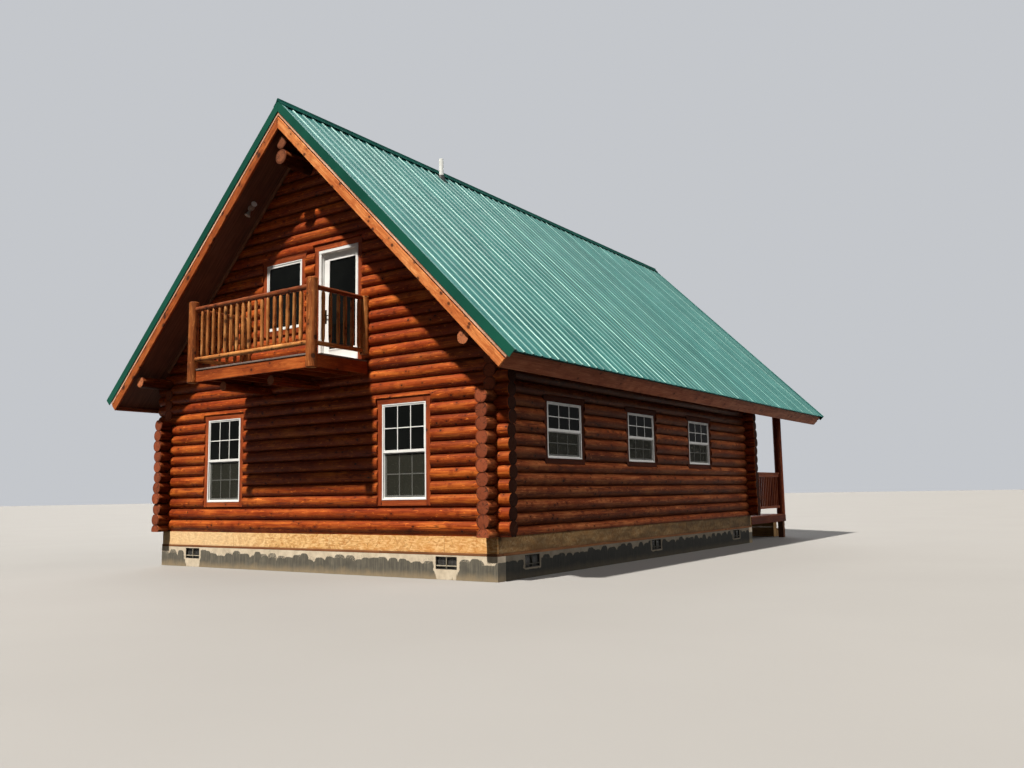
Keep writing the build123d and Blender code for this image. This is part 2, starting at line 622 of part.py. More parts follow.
# --------------------------------------------------------------------- output
os.makedirs("parts", exist_ok=True)
for name, bodies in parts.items():
    moved = [shift(b) for b in bodies]
    shape = moved[0] if len(moved) == 1 else Compound(children=moved)
    shape.label = name
    export_step(shape, f"parts/{name}.step")
print(len(parts), "pieces", sum(len(b) for b in parts.values()), "solids")
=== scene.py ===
"""Looks of the log cabin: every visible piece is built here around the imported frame.

House coordinates, in metres: X right along the balcony gable, Y from its face back
through the house, Z up from the top of the floor band. Build.make() shifts them to
the row frame.
"""
import json
import math

import bpy
import numpy as np
from mathutils import Matrix, Vector

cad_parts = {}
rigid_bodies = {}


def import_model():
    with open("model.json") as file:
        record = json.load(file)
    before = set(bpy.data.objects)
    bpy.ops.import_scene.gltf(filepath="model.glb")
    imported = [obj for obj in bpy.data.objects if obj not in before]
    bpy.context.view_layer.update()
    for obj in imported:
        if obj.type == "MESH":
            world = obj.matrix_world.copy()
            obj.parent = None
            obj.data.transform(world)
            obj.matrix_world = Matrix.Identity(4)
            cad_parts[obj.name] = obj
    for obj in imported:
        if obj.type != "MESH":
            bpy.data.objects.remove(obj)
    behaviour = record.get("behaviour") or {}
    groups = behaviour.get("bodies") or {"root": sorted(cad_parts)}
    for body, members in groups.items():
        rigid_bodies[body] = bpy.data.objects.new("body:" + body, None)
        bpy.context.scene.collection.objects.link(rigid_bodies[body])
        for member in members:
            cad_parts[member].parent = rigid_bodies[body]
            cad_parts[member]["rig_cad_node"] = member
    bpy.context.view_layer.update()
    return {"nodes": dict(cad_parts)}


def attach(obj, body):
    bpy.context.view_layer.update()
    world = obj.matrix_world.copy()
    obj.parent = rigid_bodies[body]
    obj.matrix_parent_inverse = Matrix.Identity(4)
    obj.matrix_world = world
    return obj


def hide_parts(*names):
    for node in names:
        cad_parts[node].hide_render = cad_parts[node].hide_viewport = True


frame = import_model()

YM, ZG = 6.454, 0.640
X, Y, Z = np.array([1.0, 0, 0]), np.array([0, 1.0, 0]), np.array([0, 0, 1.0])
RT = math.sqrt(2.0)

# ------------------------------------------------------------------ dimensions
HALF_W, LENGTH = 3.987, 10.530
PITCH, LOG_R = 0.2018, 0.115
AX, AYF, AYB = 3.900, 0.085, 10.445
Z_SIDE0 = 0.0276
Z_FRONT0 = Z_SIDE0 + PITCH / 2
END_OUT, STUB_X = 0.240, 4.225
RIDGE_Z, EAVE_S = 7.400, 6.855
ROOF_Y0, ROOF_Y1 = -0.752, 14.190
SOFFIT_Z = RIDGE_Z - 0.270 * RT
BARGE_S = 6.806
FASCIA_S, FASCIA_T, FASCIA_LOW = 6.800, 0.038, 0.348
TRIM = 0.090
FRONT_WIN = [(-2.660, -1.746, 0.550, 2.074), (1.746, 2.660, 0.550, 2.074)]
GABLE_WIN = (-1.080, -0.166, 3.581, 4.800)
BACK_WIN = (-0.457, 0.457, 3.581, 4.800)
DOOR = (0.262, 1.200, 2.830, 4.862)
ENTRY = (-0.470, 0.470, 0.002, 2.060)
SIDE_WIN = [(y, y + 1.080, 1.172, 2.082) for y in (1.416, 4.226, 7.002)]
POST_R, POST_XR, POST_XL, POST_Y = 0.087, 1.385, -1.540, -1.195
PORCH_Y1, PORCH_POST_Y = 13.190, 13.070
rnd = np.random.default_rng(20)


# ------------------------------------------------------------- node shorthand
class Nodes:
    def __init__(self, name):
        self.mat = bpy.data.materials.new(name)
        self.mat.use_nodes = True
        self.nt = self.mat.node_tree
        self.nt.nodes.clear()
        self.out = self.nt.nodes.new("ShaderNodeOutputMaterial")
        self.bsdf = self.nt.nodes.new("ShaderNodeBsdfPrincipled")
        self.nt.links.new(self.bsdf.outputs["BSDF"], self.out.inputs["Surface"])

    def put(self, node, key, v):
        sock = node.inputs[key]
        if isinstance(v, bpy.types.NodeSocket):
            self.nt.links.new(v, sock)
        else:
            sock.default_value = v

    def new(self, kind, **props):
        n = self.nt.nodes.new("ShaderNode" + kind)
        for k, v in props.items():
            setattr(n, k, v)
        return n

    def attr(self, name):
        n = self.new("Attribute", attribute_name=name)
        return n.outputs["Vector"], n.outputs["Fac"]

    def math(self, op, a, b=0.0, c=0.0, clamp=False):
        n = self.new("Math", operation=op, use_clamp=clamp)
        self.put(n, 0, a)
        self.put(n, 1, b)
        self.put(n, 2, c)
        return n.outputs[0]

    def vec(self, op, a, b=(0, 0, 0), scale=None):
        n = self.new("VectorMath", operation=op)
        self.put(n, 0, a)
        if op == "SCALE":
            self.put(n, "Scale", scale)
        else:
            self.put(n, 1, b)
        return n.outputs["Value"] if op in ("LENGTH", "DISTANCE", "DOT_PRODUCT") else n.outputs[0]

    def comb(self, x, y, z):
        n = self.new("CombineXYZ")
        for i, v in enumerate((x, y, z)):
            self.put(n, i, v)
        return n.outputs[0]

    def sep(self, v):
        n = self.new("SeparateXYZ")
        self.put(n, 0, v)
        return n.outputs[0], n.outputs[1], n.outputs[2]

    def noise(self, v, scale=1.0, detail=2.0, rough=0.5, dist=0.0):
        n = self.new("TexNoise", noise_dimensions="3D")
        self.put(n, "Vector", v)
        n.inputs["Scale"].default_value = scale
        n.inputs["Detail"].default_value = detail
        n.inputs["Roughness"].default_value = rough
        n.inputs["Distortion"].default_value = dist
        return n.outputs[0]

    def voronoi(self, v, scale=1.0, feature="F1", rand=1.0, dims="3D"):
        n = self.new("TexVoronoi", feature=feature, voronoi_dimensions=dims)
        self.put(n, "Vector", v)
        n.inputs["Scale"].default_value = scale
        n.inputs["Randomness"].default_value = rand
        return (n.outputs["Distance"], n.outputs["Color"] if "Color" in n.outputs else None)

    def white(self, v, dims="3D"):
        n = self.new("TexWhiteNoise", noise_dimensions=dims)
        if dims == "1D":
            self.put(n, "W", v)
        else:
            self.put(n, "Vector", v)
        return n.outputs["Value"], n.outputs["Color"]

    def smooth(self, x, a, b, lo=0.0, hi=1.0):
        n = self.new("MapRange", interpolation_type="SMOOTHSTEP")
        for k, v in (("Value", x), ("From Min", a), ("From Max", b), ("To Min", lo), ("To Max", hi)):
            self.put(n, k, v)
        return n.outputs[0]

    def mix(self, f, a, b, blend="MIX"):
        n = self.new("Mix", data_type="RGBA", blend_type=blend)
        self.put(n, 0, f)
        for i, v in ((6, a), (7, b)):
            if isinstance(v, (tuple, list)):
                v = tuple(v) + (1.0,) if len(v) == 3 else tuple(v)
            self.put(n, i, v)
        return n.outputs[2]

    def ramp(self, f, stops):
        n = self.new("ValToRGB")
        self.put(n, 0, f)
        e = n.color_ramp.elements
        while len(e) < len(stops):
            e.new(0.5)
        for i, (p, col) in enumerate(stops):
            e[i].position = p
            e[i].color = tuple(col) + (1.0,)
        return n.outputs[0]

    def bump(self, h, strength=0.3, distance=0.004):
        n = self.new("Bump")
        self.put(n, "Height", h)
        n.inputs["Strength"].default_value = strength
        n.inputs["Distance"].default_value = distance
        self.nt.links.new(n.outputs[0], self.bsdf.inputs["Normal"])

    def set(self, **kw):
        for k, v in kw.items():
            key = {"color": "Base Color", "rough": "Roughness", "metal": "Metallic", "alpha": "Alpha", "ior": "IOR",
                   "spec": "Specular IOR Level", "coat": "Coat Weight", "coat_rough": "Coat Roughness"}[k]
            if isinstance(v, (tuple, list)) and len(v) == 3:
                v = tuple(v) + (1.0,)
            self.put(self.bsdf, key, v)
        return self.mat


def lin(r, g, b):
    """A display colour, 0 to 255, as linear light."""
    def f(c):
        c /= 255.0
        return c / 12.92 if c <= 0.04045 else ((c + 0.055) / 1.055) ** 2.4
    return (f(r), f(g), f(b))


# ------------------------------------------------------------------- materials
def wood(name, dark, mid, light, knots=0.5, kscale=4.5, ksize=1.0, grain=42.0, rough=0.5, bump=0.35, tone=0.22,
         red=(0.30, 0.06, 0.02), redness=0.25, checks=0.6, under=0.0, knot=(0.035, 0.010, 0.004), spec=0.4, flecks=0.0, low=1.0):
    n = Nodes(name)
    gc, _ = n.attr("gc")
    _, sd = n.attr("seed")
    P = n.vec("ADD", gc, n.comb(n.math("MULTIPLY", sd, 37.0), n.math("MULTIPLY", sd, 91.0), n.math("MULTIPLY", sd, 53.0)))
    d, col = n.voronoi(n.vec("MULTIPLY", P, (0.8, 1.0, 1.0)), kscale)
    r1, r2, r3 = n.sep(col)
    on = n.math("GREATER_THAN", r1, 1.0 - knots)
    size = n.math("MULTIPLY_ADD", r2, 0.10 * ksize, 0.09 * ksize)
    km = n.math("MULTIPLY", on, n.smooth(n.math("DIVIDE", d, size), 1.0, 0.55))
    halo = n.math("MULTIPLY", on, n.smooth(n.math("DIVIDE", d, size), 3.2, 0.9))
    warp = n.math("MULTIPLY", halo, 0.016)
    P2 = n.vec("ADD", P, n.comb(0.0, warp, warp))
    g1 = n.noise(n.vec("MULTIPLY", P2, (1.2, grain, grain)), 1.0, 4.0, 0.6, 0.4)
    g2 = n.noise(n.vec("MULTIPLY", P2, (5.0, grain * 4, grain * 4)), 1.0, 2.0, 0.6)
    bl = n.noise(n.vec("MULTIPLY", P, (1.3, 4.5, 4.5)), 1.0, 3.0, 0.6)
    f = n.math("ADD", n.math("MULTIPLY", g1, 0.42), n.math("ADD", n.math("MULTIPLY", g2, 0.18), n.math("MULTIPLY", bl, 0.40)))
    c = n.ramp(f, [(0.39, dark), (0.50, mid), (0.61, light)])
    t1, _ = n.white(n.math("MULTIPLY", sd, 713.0), "1D")
    t2, _ = n.white(n.math("MULTIPLY_ADD", sd, 433.0, 9.0), "1D")
    c = n.mix(n.math("MULTIPLY", t2, redness), c, red, "MIX")
    c = n.vec("SCALE", c, scale=n.math("MULTIPLY_ADD", t1, 2 * tone, 1.0 - tone))
    if flecks:
        # torn grain left by the peeling knife: pale slivers and short dark ones
        fl = n.noise(n.vec("MULTIPLY", P2, (7.0, 34.0, 34.0)), 1.0, 3.0, 0.65, 0.6)
        c = n.mix(n.math("MULTIPLY", n.smooth(fl, 0.60, 0.70), flecks), c, tuple(min(1.0, 1.35 * k) for k in light))
        c = n.mix(n.math("MULTIPLY", n.smooth(fl, 0.40, 0.31), flecks), c, tuple(0.45 * k for k in dark))
    c = n.mix(n.math("MULTIPLY", halo, 0.45), c, dark)
    c = n.mix(n.math("MULTIPLY", km, 0.9), c, knot)
    ck = n.noise(n.vec("MULTIPLY", P, (0.5, 13.0, 13.0)), 1.0, 1.0, 0.4)
    ckm = n.math("MULTIPLY", n.smooth(n.math("ABSOLUTE", n.math("SUBTRACT", ck, 0.5)), 0.014, 0.004),
                 n.smooth(n.noise(n.vec("MULTIPLY", P, (0.8, 3.0, 3.0)), 1.0, 1.0), 0.50, 0.58))
    ckm = n.math("MULTIPLY", ckm, checks)
    c = n.mix(ckm, c, tuple(0.25 * k for k in knot))
    # painted shade: the top and bottom of each log, where the courses meet, are darkened
    if under:
        _, _, gv = n.sep(gc)
        av = n.math("ABSOLUTE", gv)
        e = n.math("MULTIPLY", n.smooth(av, under * 0.62, under), 0.55)
        c = n.mix(e, c, tuple(0.30 * k for k in dark))
    if low < 1.0:
        # painted shade: the lower half of a log is darkened, as light from above leaves it, with a ragged edge
        _, _, gw = n.sep(gc)
        gw = n.math("ADD", gw, n.math("MULTIPLY_ADD", n.noise(n.vec("MULTIPLY", P, (3.0, 9.0, 9.0)), 1.0, 2.0), 0.04, -0.02))
        c = n.vec("SCALE", c, scale=n.smooth(gw, -0.030, 0.050, low, 1.0))
    h = n.math("ADD", n.math("MULTIPLY", g1, 0.6), n.math("MULTIPLY", g2, 0.25))
    h = n.math("SUBTRACT", h, n.math("MULTIPLY", ckm, 1.6))
    h = n.math("SUBTRACT", h, n.math("MULTIPLY", km, 0.5))
    n.bump(h, bump, 0.006)
    ro = n.math("ADD", n.math("MULTIPLY", g1, 0.22), rough - 0.11)
    return n.set(color=c, rough=ro, spec=spec)


def endgrain(name, pale, dark, ring=0.0075, rough=0.7, crack=(0.05, 0.02, 0.01), spec=0.3):
    n = Nodes(name)
    gc, _ = n.attr("gc")
    _, sd = n.attr("seed")
    a, u, v = n.sep(gc)
    t1, _ = n.white(n.math("MULTIPLY", sd, 311.0), "1D")
    t2, _ = n.white(n.math("MULTIPLY_ADD", sd, 177.0, 3.0), "1D")
    u = n.math("ADD", u, n.math("MULTIPLY_ADD", t1, 0.03, -0.015))
    v = n.math("ADD", v, n.math("MULTIPLY_ADD", t2, 0.03, -0.015))
    q = n.comb(u, v, n.math("MULTIPLY", sd, 20.0))
    nz = n.math("MULTIPLY_ADD", n.noise(q, 9.0, 2.0), 0.016, -0.008)
    rr = n.math("ADD", n.math("SQRT", n.math("ADD", n.math("MULTIPLY", u, u), n.math("MULTIPLY", v, v))), nz)
    rings = n.math("MULTIPLY_ADD", n.math("SINE", n.math("MULTIPLY", rr, 6.2832 / ring)), 0.5, 0.5)
    ang = n.math("ARCTAN2", v, u)
    cr = n.noise(n.comb(n.math("MULTIPLY", ang, 1.6), n.math("MULTIPLY", sd, 60.0), n.math("MULTIPLY", rr, 2.5)), 1.0, 1.0)
    cm = n.math("MULTIPLY", n.smooth(n.math("ABSOLUTE", n.math("SUBTRACT", cr, 0.5)), 0.022, 0.006), n.smooth(rr, 0.006, 0.03))
    blot = n.noise(q, 14.0, 3.0)
    f = n.math("ADD", n.math("MULTIPLY", rings, 0.45), n.math("MULTIPLY", blot, 0.55))
    c = n.mix(f, pale, dark)
    c = n.mix(n.smooth(rr, 0.085, 0.108), c, tuple(0.75 * k for k in dark))
    c = n.mix(n.math("MULTIPLY", cm, 0.85), c, crack)
    t3, _ = n.white(n.math("MULTIPLY_ADD", sd, 57.0, 11.0), "1D")
    c = n.vec("SCALE", c, scale=n.math("MULTIPLY_ADD", t3, 0.5, 0.72))
    n.bump(n.math("SUBTRACT", n.math("MULTIPLY", rings, 0.3), cm), 0.4, 0.003)
    return n.set(color=c, rough=rough, spec=spec)


M = {}
# under paints shade where the courses meet (see wood())
M["log"] = wood("stained_log", lin(104, 35, 8), lin(156, 68, 21), lin(208, 114, 44), knots=1.0, kscale=8.0, ksize=1.0, rough=0.5,
                tone=0.24, redness=0.55, red=lin(118, 40, 14), under=0.098, spec=0.16, knot=(0.016, 0.005, 0.002), bump=0.6, flecks=0.72)
# a duller copy of the log stain for the side walls, plate logs and ridge logs, with painted shade on the lower half of
# each log (low)
M["log_side"] = wood("stained_log_side", lin(96, 41, 19), lin(150, 76, 39), lin(200, 122, 72), knots=1.0, kscale=8.0, ksize=1.15, rough=0.5,
                     tone=0.26, redness=0.4, red=lin(106, 42, 20), under=0.098, spec=0.07, knot=(0.016, 0.005, 0.002), bump=0.6, flecks=0.72,
                     low=0.36)
M["log_end"] = endgrain("stained_log_end", lin(166, 87, 54), lin(114, 51, 27), spec=0.2)
M["log_end_ridge"] = endgrain("stained_log_end_ridge", lin(158, 96, 64), lin(112, 60, 35), ring=0.009, spec=0.15)
# painted shade: a darkened copy of the end grain, for the stub ends and cut ends of the gable walls
M["log_end_dark"] = endgrain("stained_log_end_dark", lin(58, 26, 13), lin(36, 15, 7), spec=0.06)
M["log_end_pale"] = endgrain("stained_log_end_pale", lin(196, 122, 78), lin(146, 76, 42), ring=0.009)
M["pole"] = wood("peeled_pole", lin(128, 70, 30), lin(192, 126, 66), lin(228, 172, 108), knots=1.0, kscale=8.0, ksize=1.5, grain=60.0,
                 rough=0.5, tone=0.16, redness=0.35, red=lin(144, 70, 28), checks=0.35, spec=0.2, knot=(0.05, 0.016, 0.006), flecks=0.5)
M["post"] = wood("peeled_post", lin(104, 50, 20), lin(164, 92, 42), lin(214, 142, 78), knots=1.0, kscale=7.0, ksize=1.6, grain=50.0,
                 rough=0.5, tone=0.06, redness=0.35, red=lin(130, 60, 24), checks=0.4, spec=0.2, knot=(0.03, 0.010, 0.004), flecks=0.7)
M["pole_end"] = endgrain("peeled_pole_end", lin(206, 158, 106), lin(160, 108, 62), ring=0.005)
M["board"] = wood("stained_board", lin(108, 44, 18), lin(150, 68, 30), lin(182, 94, 46), knots=0.8, kscale=7.0, ksize=0.9, grain=70.0,
                  rough=0.55, tone=0.14, redness=0.4, red=lin(116, 40, 20), checks=0.15, bump=0.2, spec=0.2, flecks=0.3)
# painted shade: a darkened copy of the trim board stain, for the trims on the side walls
M["board_side"] = wood("stained_board_side", lin(42, 17, 8), lin(62, 27, 13), lin(84, 40, 21), knots=0.8, kscale=7.0, ksize=0.9, grain=70.0,
                       rough=0.55, tone=0.14, redness=0.4, red=lin(60, 22, 12), checks=0.15, bump=0.2, spec=0.05, flecks=0.3)
M["rim"] = wood("rim_timber", lin(112, 46, 16), lin(158, 74, 28), lin(192, 104, 46), knots=0.9, kscale=6.0, ksize=1.2, grain=50.0,
                rough=0.55, tone=0.08, redness=0.4, red=lin(124, 46, 18), checks=0.25, bump=0.25, spec=0.2, flecks=0.4)
M["toprail"] = wood("rail_pole", lin(84, 38, 18), lin(132, 66, 33), lin(166, 98, 56), knots=0.9, kscale=8.0, ksize=1.3, grain=60.0,
                    rough=0.5, tone=0.10, redness=0.5, red=lin(104, 44, 22), checks=0.4, spec=0.2, knot=(0.04, 0.012, 0.005), flecks=0.4)
M["barge"] = wood("barge_timber", lin(172, 88, 42), lin(214, 126, 66), lin(242, 168, 102), knots=1.0, kscale=7.5, ksize=1.45, grain=46.0,
                  rough=0.55, tone=0.06, redness=0.25, red=lin(186, 92, 40), checks=0.25, bump=0.25, spec=0.2, knot=(0.08, 0.024, 0.010), flecks=0.35)
M["barge2"] = wood("barge_timber_dark", lin(126, 58, 24), lin(168, 86, 37), lin(200, 118, 60), knots=1.0, kscale=7.5, ksize=2.1, grain=46.0,
                   rough=0.55, tone=0.06, redness=0.4, red=lin(150, 60, 28), checks=0.25, bump=0.25, spec=0.2, knot=(0.045, 0.012, 0.006), flecks=0.35)
M["fascia"] = wood("fascia_timber", lin(132, 71, 46), lin(178, 106, 72), lin(208, 134, 96), knots=0.8, kscale=6.5, ksize=1.2, grain=50.0,
                   rough=0.6, tone=0.14, redness=0.4, red=lin(132, 58, 36), checks=0.25, bump=0.25, spec=0.15, flecks=0.3)
M["red"] = wood("red_board", lin(92, 42, 24), lin(132, 68, 40), lin(162, 92, 58), knots=0.7, kscale=6.5, ksize=0.9, grain=60.0,
                rough=0.55, tone=0.14, redness=0.3, red=lin(112, 50, 32), checks=0.2, bump=0.22, spec=0.12)
M["red_rim"] = wood("red_rim_board", lin(64, 25, 13), lin(94, 41, 22), lin(120, 60, 36), knots=0.7, kscale=6.5, ksize=0.9, grain=60.0,
                    rough=0.55, tone=0.14, redness=0.3, red=lin(84, 32, 18), checks=0.2, bump=0.22, spec=0.08)
M["pale"] = wood("pale_strip", lin(176, 122, 92), lin(222, 170, 138), lin(238, 196, 168), knots=0.3, kscale=6.0, grain=60.0, rough=0.7,
                 tone=0.08, redness=0.1, red=lin(200, 140, 110), checks=0.1, bump=0.15, knot=lin(110, 70, 50), spec=0.25)
M["treated"] = wood("treated_timber", lin(112, 82, 48), lin(156, 122, 78), lin(188, 154, 104), knots=0.5, kscale=5.0, ksize=0.7, grain=60.0,
                    rough=0.75, tone=0.12, redness=0.15, red=lin(140, 96, 52), checks=0.4, spec=0.25)
M["pier"] = wood("pier_timber", lin(70, 44, 28), lin(100, 66, 42), lin(126, 88, 58), knots=0.6, kscale=5.0, ksize=0.9, grain=50.0,
                 rough=0.75, tone=0.12, redness=0.3, red=lin(96, 50, 30), checks=0.4, spec=0.2, flecks=0.3)
# painted shade: the sill's stain is darkened to give the shadow line under the strand board band
M["sill"] = wood("sill_timber", lin(96, 60, 34), lin(128, 84, 50), lin(152, 104, 66), knots=0.4, kscale=5.0, ksize=0.7, grain=60.0,
                 rough=0.75, tone=0.12, redness=0.3, red=lin(120, 66, 36), checks=0.3, spec=0.25)
M["floor"] = wood("floor_timber", lin(140, 106, 66), lin(176, 140, 94), lin(200, 166, 118), knots=0.4, kscale=4.0, ksize=0.7, grain=30.0, rough=0.75)
M["frieze"] = wood("frieze_strip", lin(112, 76, 56), lin(146, 106, 80), lin(170, 130, 100), knots=0.3, kscale=5.0, ksize=0.7, grain=60.0,
                   rough=0.6, tone=0.08, redness=0.1, checks=0.1, bump=0.15, spec=0.25)


def mat_osb(name="strand_board", side_shade=0.0):
    """Strand board: flat flakes laid at many angles in overlapping layers."""
    n = Nodes(name)
    gc, _ = n.attr("gc")
    _, sd = n.attr("seed")
    x, _, z = n.sep(gc)
    x = n.math("MULTIPLY_ADD", sd, 40.0, x)
    dx = n.math("MULTIPLY_ADD", n.noise(n.comb(x, z, 0.0), 7.0, 1.0), 0.05, -0.025)
    layers = []
    for i, (ang, sx, sz) in enumerate(((0.20, 7.0, 30.0), (-0.42, 8.0, 34.0), (0.95, 9.0, 36.0), (-1.1, 8.0, 40.0), (0.55, 6.0, 26.0))):
        ca, sa = math.cos(ang), math.sin(ang)
        a = n.math("ADD", n.math("MULTIPLY", x, ca), n.math("MULTIPLY", z, sa))
        b = n.math("ADD", n.math("MULTIPLY", x, -sa), n.math("MULTIPLY", z, ca))
        q = n.comb(n.math("MULTIPLY", n.math("ADD", a, dx), sx), n.math("MULTIPLY", b, sz), 7.0 * i)
        d, col = n.voronoi(q, 1.0)
        layers.append((d, n.sep(col)))
    tv = layers[0][1][0]
    for i, cut in ((1, 0.5), (2, 0.62), (3, 0.72), (4, 0.78)):
        on = n.math("GREATER_THAN", layers[i][1][1], cut)
        tv = n.math("ADD", n.math("MULTIPLY", tv, n.math("SUBTRACT", 1.0, on)), n.math("MULTIPLY", layers[i][1][0], on))
    fine = n.noise(n.comb(n.math("MULTIPLY", x, 40.0), n.math("MULTIPLY", z, 150.0), 0.0), 1.0, 2.0)
    big = n.noise(n.comb(x, z, 3.0), 1.9, 3.0)
    f = n.math("ADD", n.math("MULTIPLY", tv, 0.50), n.math("ADD", n.math("MULTIPLY", fine, 0.22), n.math("MULTIPLY", big, 0.28)))
    c = n.ramp(f, [(0.12, lin(172, 122, 70)), (0.38, lin(206, 156, 96)), (0.60, lin(222, 177, 115)), (0.88, lin(244, 210, 156))])
    c = n.mix(n.math("MULTIPLY", n.smooth(big, 0.50, 0.68), 0.45), c, lin(204, 138, 66))
    spot = n.noise(n.comb(x, z, 9.0), 17.0, 1.0)
    c = n.mix(n.math("MULTIPLY", n.smooth(spot, 0.70, 0.76), 0.6), c, lin(110, 70, 36))
    low = n.smooth(z, -0.085, -0.121)
    c = n.mix(n.math("MULTIPLY", low, 0.45), c, lin(150, 98, 56))
    if not side_shade:
        # streakier, paler to the left and more golden to the right
        streak = n.noise(n.comb(n.math("MULTIPLY", n.math("ADD", x, n.math("MULTIPLY", z, 0.7)), 9.0), n.math("MULTIPLY", z, 42.0), 5.0), 1.0, 2.0)
        c = n.mix(n.math("MULTIPLY", n.smooth(streak, 0.52, 0.66), 0.5), c, lin(246, 214, 158))
        c = n.mix(n.math("MULTIPLY", n.smooth(streak, 0.46, 0.34), 0.55), c, lin(182, 112, 50))
        ox = n.sep(n.new("TexCoord").outputs["Object"])[0]
        c = n.mix(n.smooth(ox, -2.6, -0.3, 0.52, 0.0), c, lin(240, 210, 164))
        c = n.mix(n.smooth(ox, -0.6, 3.6, 0.0, 0.16), c, lin(226, 144, 62))
        c = n.vec("SCALE", c, scale=1.07)
    if side_shade:
        # painted shade: the side bands are darkened, more so towards the back, with darker greyish blotches
        blotch = n.noise(n.comb(n.math("MULTIPLY", x, 1.6), n.math("MULTIPLY", z, 7.0), 21.0), 1.0, 4.0, 0.6)
        c = n.mix(n.math("MULTIPLY", n.smooth(blotch, 0.34, 0.62), side_shade), c, lin(84, 66, 44))
        c = n.vec("SCALE", c, scale=n.smooth(n.sep(n.new("TexCoord").outputs["Object"])[1], -5.5, 3.0, 0.49, 0.26))
    n.bump(f, 0.30, 0.003)
    return n.set(color=c, rough=0.70, spec=0.25)


M["osb"] = mat_osb()
# painted shade: a darkened copy of the strand board for the side bands
M["osb_side"] = mat_osb("strand_board_side", 0.55)


def mat_concrete(name="coated_concrete", coats=(lin(76, 74, 66), lin(98, 93, 82), lin(122, 116, 101)), dust=0.72, bare=1.0, lift=0.0):
    """Cast concrete, bare along the top, with overlapping black roller strokes below, kept clear of the vents."""
    n = Nodes(name)
    gc, _ = n.attr("gc")
    _, sd = n.attr("seed")
    s, u, z = n.sep(gc)

    def strokes(width, shift, base, amp):
        wob = n.math("MULTIPLY_ADD", n.noise(n.comb(s, shift, z), 5.0, 1.0), 0.07, -0.035)
        t = n.math("DIVIDE", n.math("ADD", n.math("ADD", s, shift), wob), width)
        cell = n.math("FLOOR", t)
        fr = n.math("SUBTRACT", n.math("FRACT", t), 0.5)
        r, _ = n.white(n.math("ADD", cell, n.math("MULTIPLY_ADD", sd, 97.0, shift * 13.0)), "1D")
        top = n.math("MULTIPLY_ADD", r, amp, base + lift)
        f2 = n.math("MULTIPLY", fr, fr)
        return n.math("SUBTRACT", top, n.math("MULTIPLY", n.math("MULTIPLY", f2, f2), 1.1))

    edge = n.math("MAXIMUM", strokes(0.235, 0.0, -0.435, 0.115), strokes(0.31, 4.13, -0.440, 0.095))
    edge = n.math("MAXIMUM", edge, strokes(0.20, 9.71, -0.470, 0.15))
    # bare patches beside and under the vents, from the "clear" attribute
    _, clear = n.attr("clear")
    rag = n.math("MULTIPLY_ADD", n.noise(n.comb(s, u, z), 60.0, 2.0), 0.016, -0.008)
    coat = n.smooth(n.math("SUBTRACT", n.math("ADD", z, rag), edge), 0.004, -0.004)
    wobc = n.math("ADD", clear, n.math("MULTIPLY_ADD", n.noise(n.comb(s, z, 3.0), 9.0, 2.0), 0.6, -0.3))
    wobc = n.math("ADD", wobc, n.math("MULTIPLY_ADD", n.noise(n.comb(n.math("MULTIPLY", s, 38.0), 0.0, n.math("MULTIPLY", z, 4.0)), 1.0, 2.0), 0.9, -0.45))
    coat = n.math("MULTIPLY", coat, n.smooth(wobc, 0.56, 0.44))
    streak = n.noise(n.comb(n.math("MULTIPLY", s, 34.0), u, n.math("MULTIPLY", z, 3.0)), 1.0, 3.0, 0.6)
    blot = n.noise(n.comb(s, u, z), 5.0, 4.0, 0.6)
    grit = n.noise(n.comb(s, u, z), 130.0, 2.0)
    c1 = n.ramp(n.math("ADD", n.math("MULTIPLY", blot, 0.7), n.math("MULTIPLY", grit, 0.3)),
                [(0.3, lin(178, 162, 138)), (0.5, lin(212, 196, 170)), (0.7, lin(232, 218, 194))])
    c2 = n.ramp(n.math("ADD", n.math("MULTIPLY", streak, 0.6), n.math("MULTIPLY", blot, 0.4)),
                [(0.32, coats[0]), (0.5, coats[1]), (0.68, coats[2])])
    dusty = n.math("MULTIPLY", n.smooth(n.math("ADD", z, n.math("MULTIPLY_ADD", blot, 0.20, -0.10)), -0.50, -0.66), dust)
    c2 = n.mix(dusty, c2, lin(166, 146, 114))
    # bare below 1 darkens the bare concrete: painted shade, used for the side walls
    c = n.mix(coat, n.vec("SCALE", c1, scale=bare) if bare < 1.0 else c1, c2)
    drip = n.math("MULTIPLY", n.smooth(streak, 0.66, 0.74), n.math("MULTIPLY", coat, 0.35))
    c = n.mix(drip, c, tuple(1.6 * k for k in coats[2]))
    n.bump(n.math("ADD", n.math("MULTIPLY", grit, 0.4), n.math("MULTIPLY", n.math("MULTIPLY", streak, coat), 0.5)), 0.35, 0.004)
    ro = n.math("MULTIPLY_ADD", coat, -0.15, 0.88)
    return n.set(color=c, rough=ro, spec=0.3)


M["concrete"] = mat_concrete()
# painted shade: a darkened copy of the coated concrete for the side stem walls, coat and bare concrete darker, with
# little dust
M["concrete_side"] = mat_concrete("coated_concrete_side", (lin(23, 25, 22), lin(34, 34, 30), lin(48, 46, 40)), 0.12, 0.29, 0.022)


